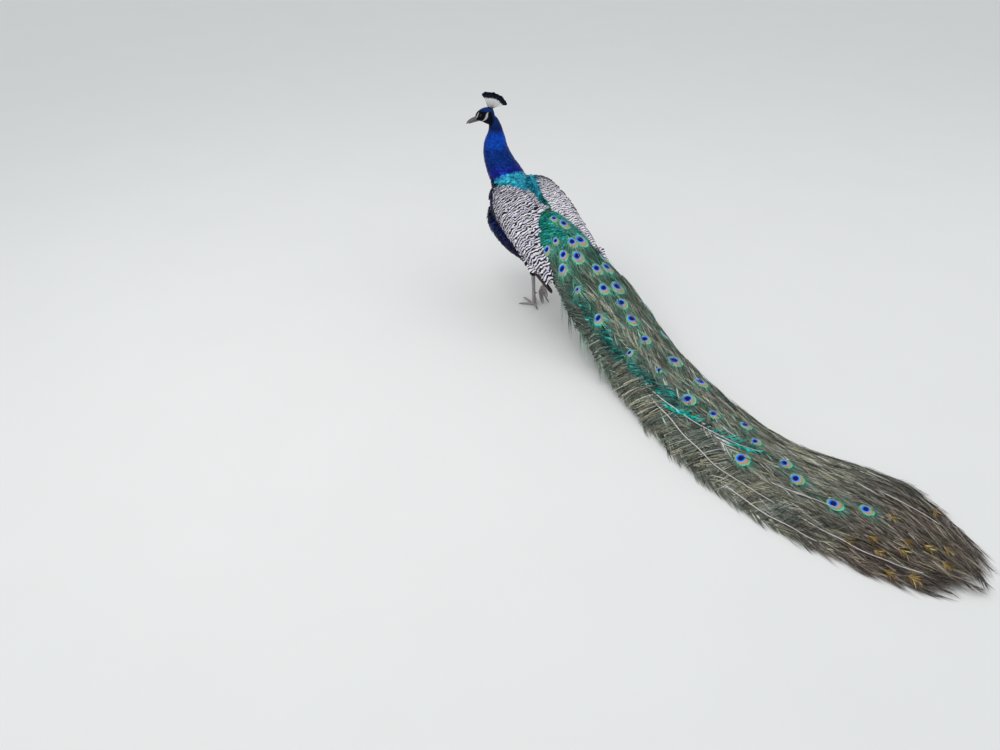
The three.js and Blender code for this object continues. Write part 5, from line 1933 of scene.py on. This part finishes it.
# Long pale shafts that lie bare on the train, through (distance behind the hips, place across).
LONG_SHAFTS = (
    (
        (0.48, 0.70), (0.61, 0.63), (0.73, 0.62), (0.82, 0.61),
        (0.93, 0.65), (1.05, 0.67), (1.15, 0.69), (1.27, 0.67),
    ),
    (
        (0.50, 0.64), (0.60, 0.60), (0.69, 0.57), (0.77, 0.51),
        (0.86, 0.44), (0.94, 0.36), (1.04, 0.20), (1.12, 0.02),
    ),
    ((0.93, -0.98), (1.12, -0.96), (1.28, -0.92), (1.40, -0.88), (1.54, -0.92)),
    ((1.16, 0.43), (1.26, 0.37), (1.38, 0.31)),
    ((1.22, 0.62), (1.38, 0.68), (1.52, 0.69), (1.64, 0.62)),
    ((1.33, -0.36), (1.45, -0.46), (1.56, -0.58)),
    ((1.02, 0.80), (1.20, 0.84), (1.42, 0.88)),
)
# Tips of the forked feathers at the far end: distance behind the hips, and place across.
FORKS = (
    (1.54, 0.58), (1.57, 0.33), (1.56, 0.13), (1.60, -0.02), (1.63, -0.26), (1.50, 0.42),
    (1.48, -0.11), (1.52, -0.79), (1.59, 0.83), (1.64, 0.77), (1.47, 0.66), (1.66, 0.10),
)


STIFF_VANE = vane_shape(
    [0.5, 0.8, 0.95, 1.0, 1.0, 0.9, 0.6, 0], [0, 0.2, 0.4, 0.6, 0.8, 0.92, 0.98, 1.0], 4
)


class PEACOCK_OT_tail(bpy.types.Operator):
    """Fan out the stiff tail that props the train, and the folded primaries under each wing"""

    bl_idname = "peacock.tail"
    bl_label = "Tail and primaries"

    def execute(self, context):
        c = swatches()
        rng = np.random.default_rng(8)
        material = contour_material("stiff_feathers", 0.0, 0.6, 60)
        for name, nodes, count, half, slot, tint in (
            ("tail_feathers", ["tail"], 18, 0.017, "brown_plumage", c["tail"]),
            ("primaries_left_feathers", ["primaries_left"], 7, 0.010, "primaries", c["primary"]),
            ("primaries_right_feathers", ["primaries_right"], 7, 0.010, "primaries", c["primary"]),
        ):
            low, high = [np.array(b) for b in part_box(nodes[0])]
            surface = Surface.of_nodes(*nodes)
            share, number, one = (np.arange(count) + 0.5) / count, np.arange(count), np.ones(count)
            toward_edge = STIFF_VANE[0][:, 1] * 0.5 + 0.5
            if name == "tail_feathers":
                start = [lerp(HIPS[0] - 0.026, HIPS[0] + 0.026, share), low[1] + 0.004, high[2]]
                behind = high[1] - 0.035 * (2 * share - 1) ** 2 - 0.004
                end = [lerp(low[0] + 0.006, high[0] - 0.006, share), behind, low[2] + 0.006]
                up = [0.0, 0.3, 1.0]
                step = number % 3 * 0.5
                edge = lerp(0.5, 1.5, toward_edge)
            else:
                side, out = (1.0, high[0]) if "left" in name else (-1.0, low[0])
                start = [out, low[1] + 0.002, lerp(high[2] - 0.004, low[2] + 0.02, share)]
                behind = high[1] - 0.075 * share[::-1] - 0.004
                end = [out, behind, lerp(high[2] - 0.006, low[2] + 0.004, share)]
                up = [side, 0.0, 0.2]
                step = (count - number) * 0.6
                edge = lerp(0.55, 2.6, toward_edge**3)
            start, tips = [np.stack([one * axis for axis in place], 1) for place in (start, end)]
            roots, _, _ = surface.nearest(start)
            reach = np.linalg.norm(tips - roots, axis=1)
            along = unit(tips - roots)
            ups = along_surface(np.tile(up, (count, 1)), along)
            laid = lay_vanes(
                surface, roots, ups, along, reach, half * one, 0.0, 1.5 * MM * one, STIFF_VANE, 0.12
            )
            laid += ups[:, None] * (step * MM)[:, None, None]
            # Painted shade and light: each vane runs from dark along one edge to light along the other,
            # so the shingled feathers' boundaries show.
            own = tint * rng.uniform(0.8, 1.2, count)[:, None, None] * edge[None, :, None]
            flock = Flock()
            flock.add_vanes(laid, STIFF_VANE, own, np.stack([0.4 + 0.2 * share, 0.9 * one], 1))
            flock.build(name, material, slot, nodes)
        return {"FINISHED"}


# ------------------------------------------------------------------ stage
FOCAL_LENGTH = 29.12  # mm
CAMERA_PLACE = (1.579, 2.242)  # left of the hips and behind them
CAMERA_TILT, CAMERA_TURN = math.radians(53.5), math.radians(148.5)
LIT_PLACE = (0, 0, 0.3)  # where both lamps point


class PEACOCK_OT_stage(bpy.types.Operator):
    """Lay a plain pale floor, hang soft lights and set the camera"""

    bl_idname = "peacock.stage"
    bl_label = "Stage"

    def execute(self, context):
        scene = context.scene
        sizes = scene.peacock_sizes
        bm = bmesh.new()
        bmesh.ops.create_grid(bm, x_segments=1, y_segments=1, size=200)
        n = Nodes("floor")
        c = scene.peacock_colours
        grain = n.noise(n.object_place(), 3.0, 2.0)
        tone = n.mix(grain, rgba(c.floor), rgba([0.97 * v for v in c.floor]))
        material = n.finish(tone, Roughness=0.9)
        to_object(bm, "floor", material, smooth_faces=False)
        world = bpy.data.worlds.new("studio")
        world.use_nodes = True
        sky = world.node_tree.nodes["Background"]
        sky.inputs["Color"].default_value = (0.93, 0.96, 1.0, 1)
        sky.inputs["Strength"].default_value = 0.76
        scene.world = world
        for name, place, size, power in (
            ("key", (1.6, -0.6, 3.2), 2.6, 38),
            ("fill", (-2.6, 1.6, 2.6), 3.0, 16),
        ):
            lamp = bpy.data.lights.new(name, "AREA")
            lamp.size = size
            lamp.energy = power
            obj = bpy.data.objects.new(name, lamp)
            obj.location = place
            away = Vector(place) - Vector(LIT_PLACE)
            obj.rotation_euler = away.to_track_quat("Z", "Y").to_euler()
            scene.collection.objects.link(obj)
        lens = bpy.data.cameras.new("camera")
        lens.sensor_width = 36
        lens.lens = FOCAL_LENGTH
        camera = bpy.data.objects.new("camera", lens)
        camera.location = HIPS + np.array([*CAMERA_PLACE, sizes.camera_height])
        camera.rotation_euler = (CAMERA_TILT, 0, CAMERA_TURN)
        scene.collection.objects.link(camera)
        scene.camera = camera
        scene.view_settings.view_transform = "Standard"
        return {"FINISHED"}


OPERATORS = (
    PEACOCK_OT_skin,
    PEACOCK_OT_coat,
    PEACOCK_OT_eyes,
    PEACOCK_OT_bill,
    PEACOCK_OT_crest,
    PEACOCK_OT_legs,
    PEACOCK_OT_tail,
    PEACOCK_OT_train_bed,
    PEACOCK_OT_train,
    PEACOCK_OT_stage,
)


class PEACOCK_PT_panel(bpy.types.Panel):
    """Lists the steps that build the peacock"""

    bl_idname = "PEACOCK_PT_panel"
    bl_label = "Peacock"
    bl_space_type = "VIEW_3D"
    bl_region_type = "UI"
    bl_category = "Peacock"

    def draw(self, context):
        for operator in OPERATORS:
            self.layout.operator(operator.bl_idname)
        for group in (context.scene.peacock_sizes, context.scene.peacock_colours):
            for key in type(group).__annotations__:
                self.layout.prop(group, key)


CLASSES = (PeacockColours, PeacockSizes, *OPERATORS, PEACOCK_PT_panel)


def register():
    for cls in CLASSES:
        bpy.utils.register_class(cls)
    bpy.types.Scene.peacock_colours = PointerProperty(type=PeacockColours)
    bpy.types.Scene.peacock_sizes = PointerProperty(type=PeacockSizes)


def unregister():
    del bpy.types.Scene.peacock_sizes
    del bpy.types.Scene.peacock_colours
    for cls in reversed(CLASSES):
        bpy.utils.unregister_class(cls)


def main():
    register()
    for operator in OPERATORS:
        getattr(bpy.ops.peacock, operator.bl_idname.split(".")[1])()


if __name__ == "__main__":
    main()
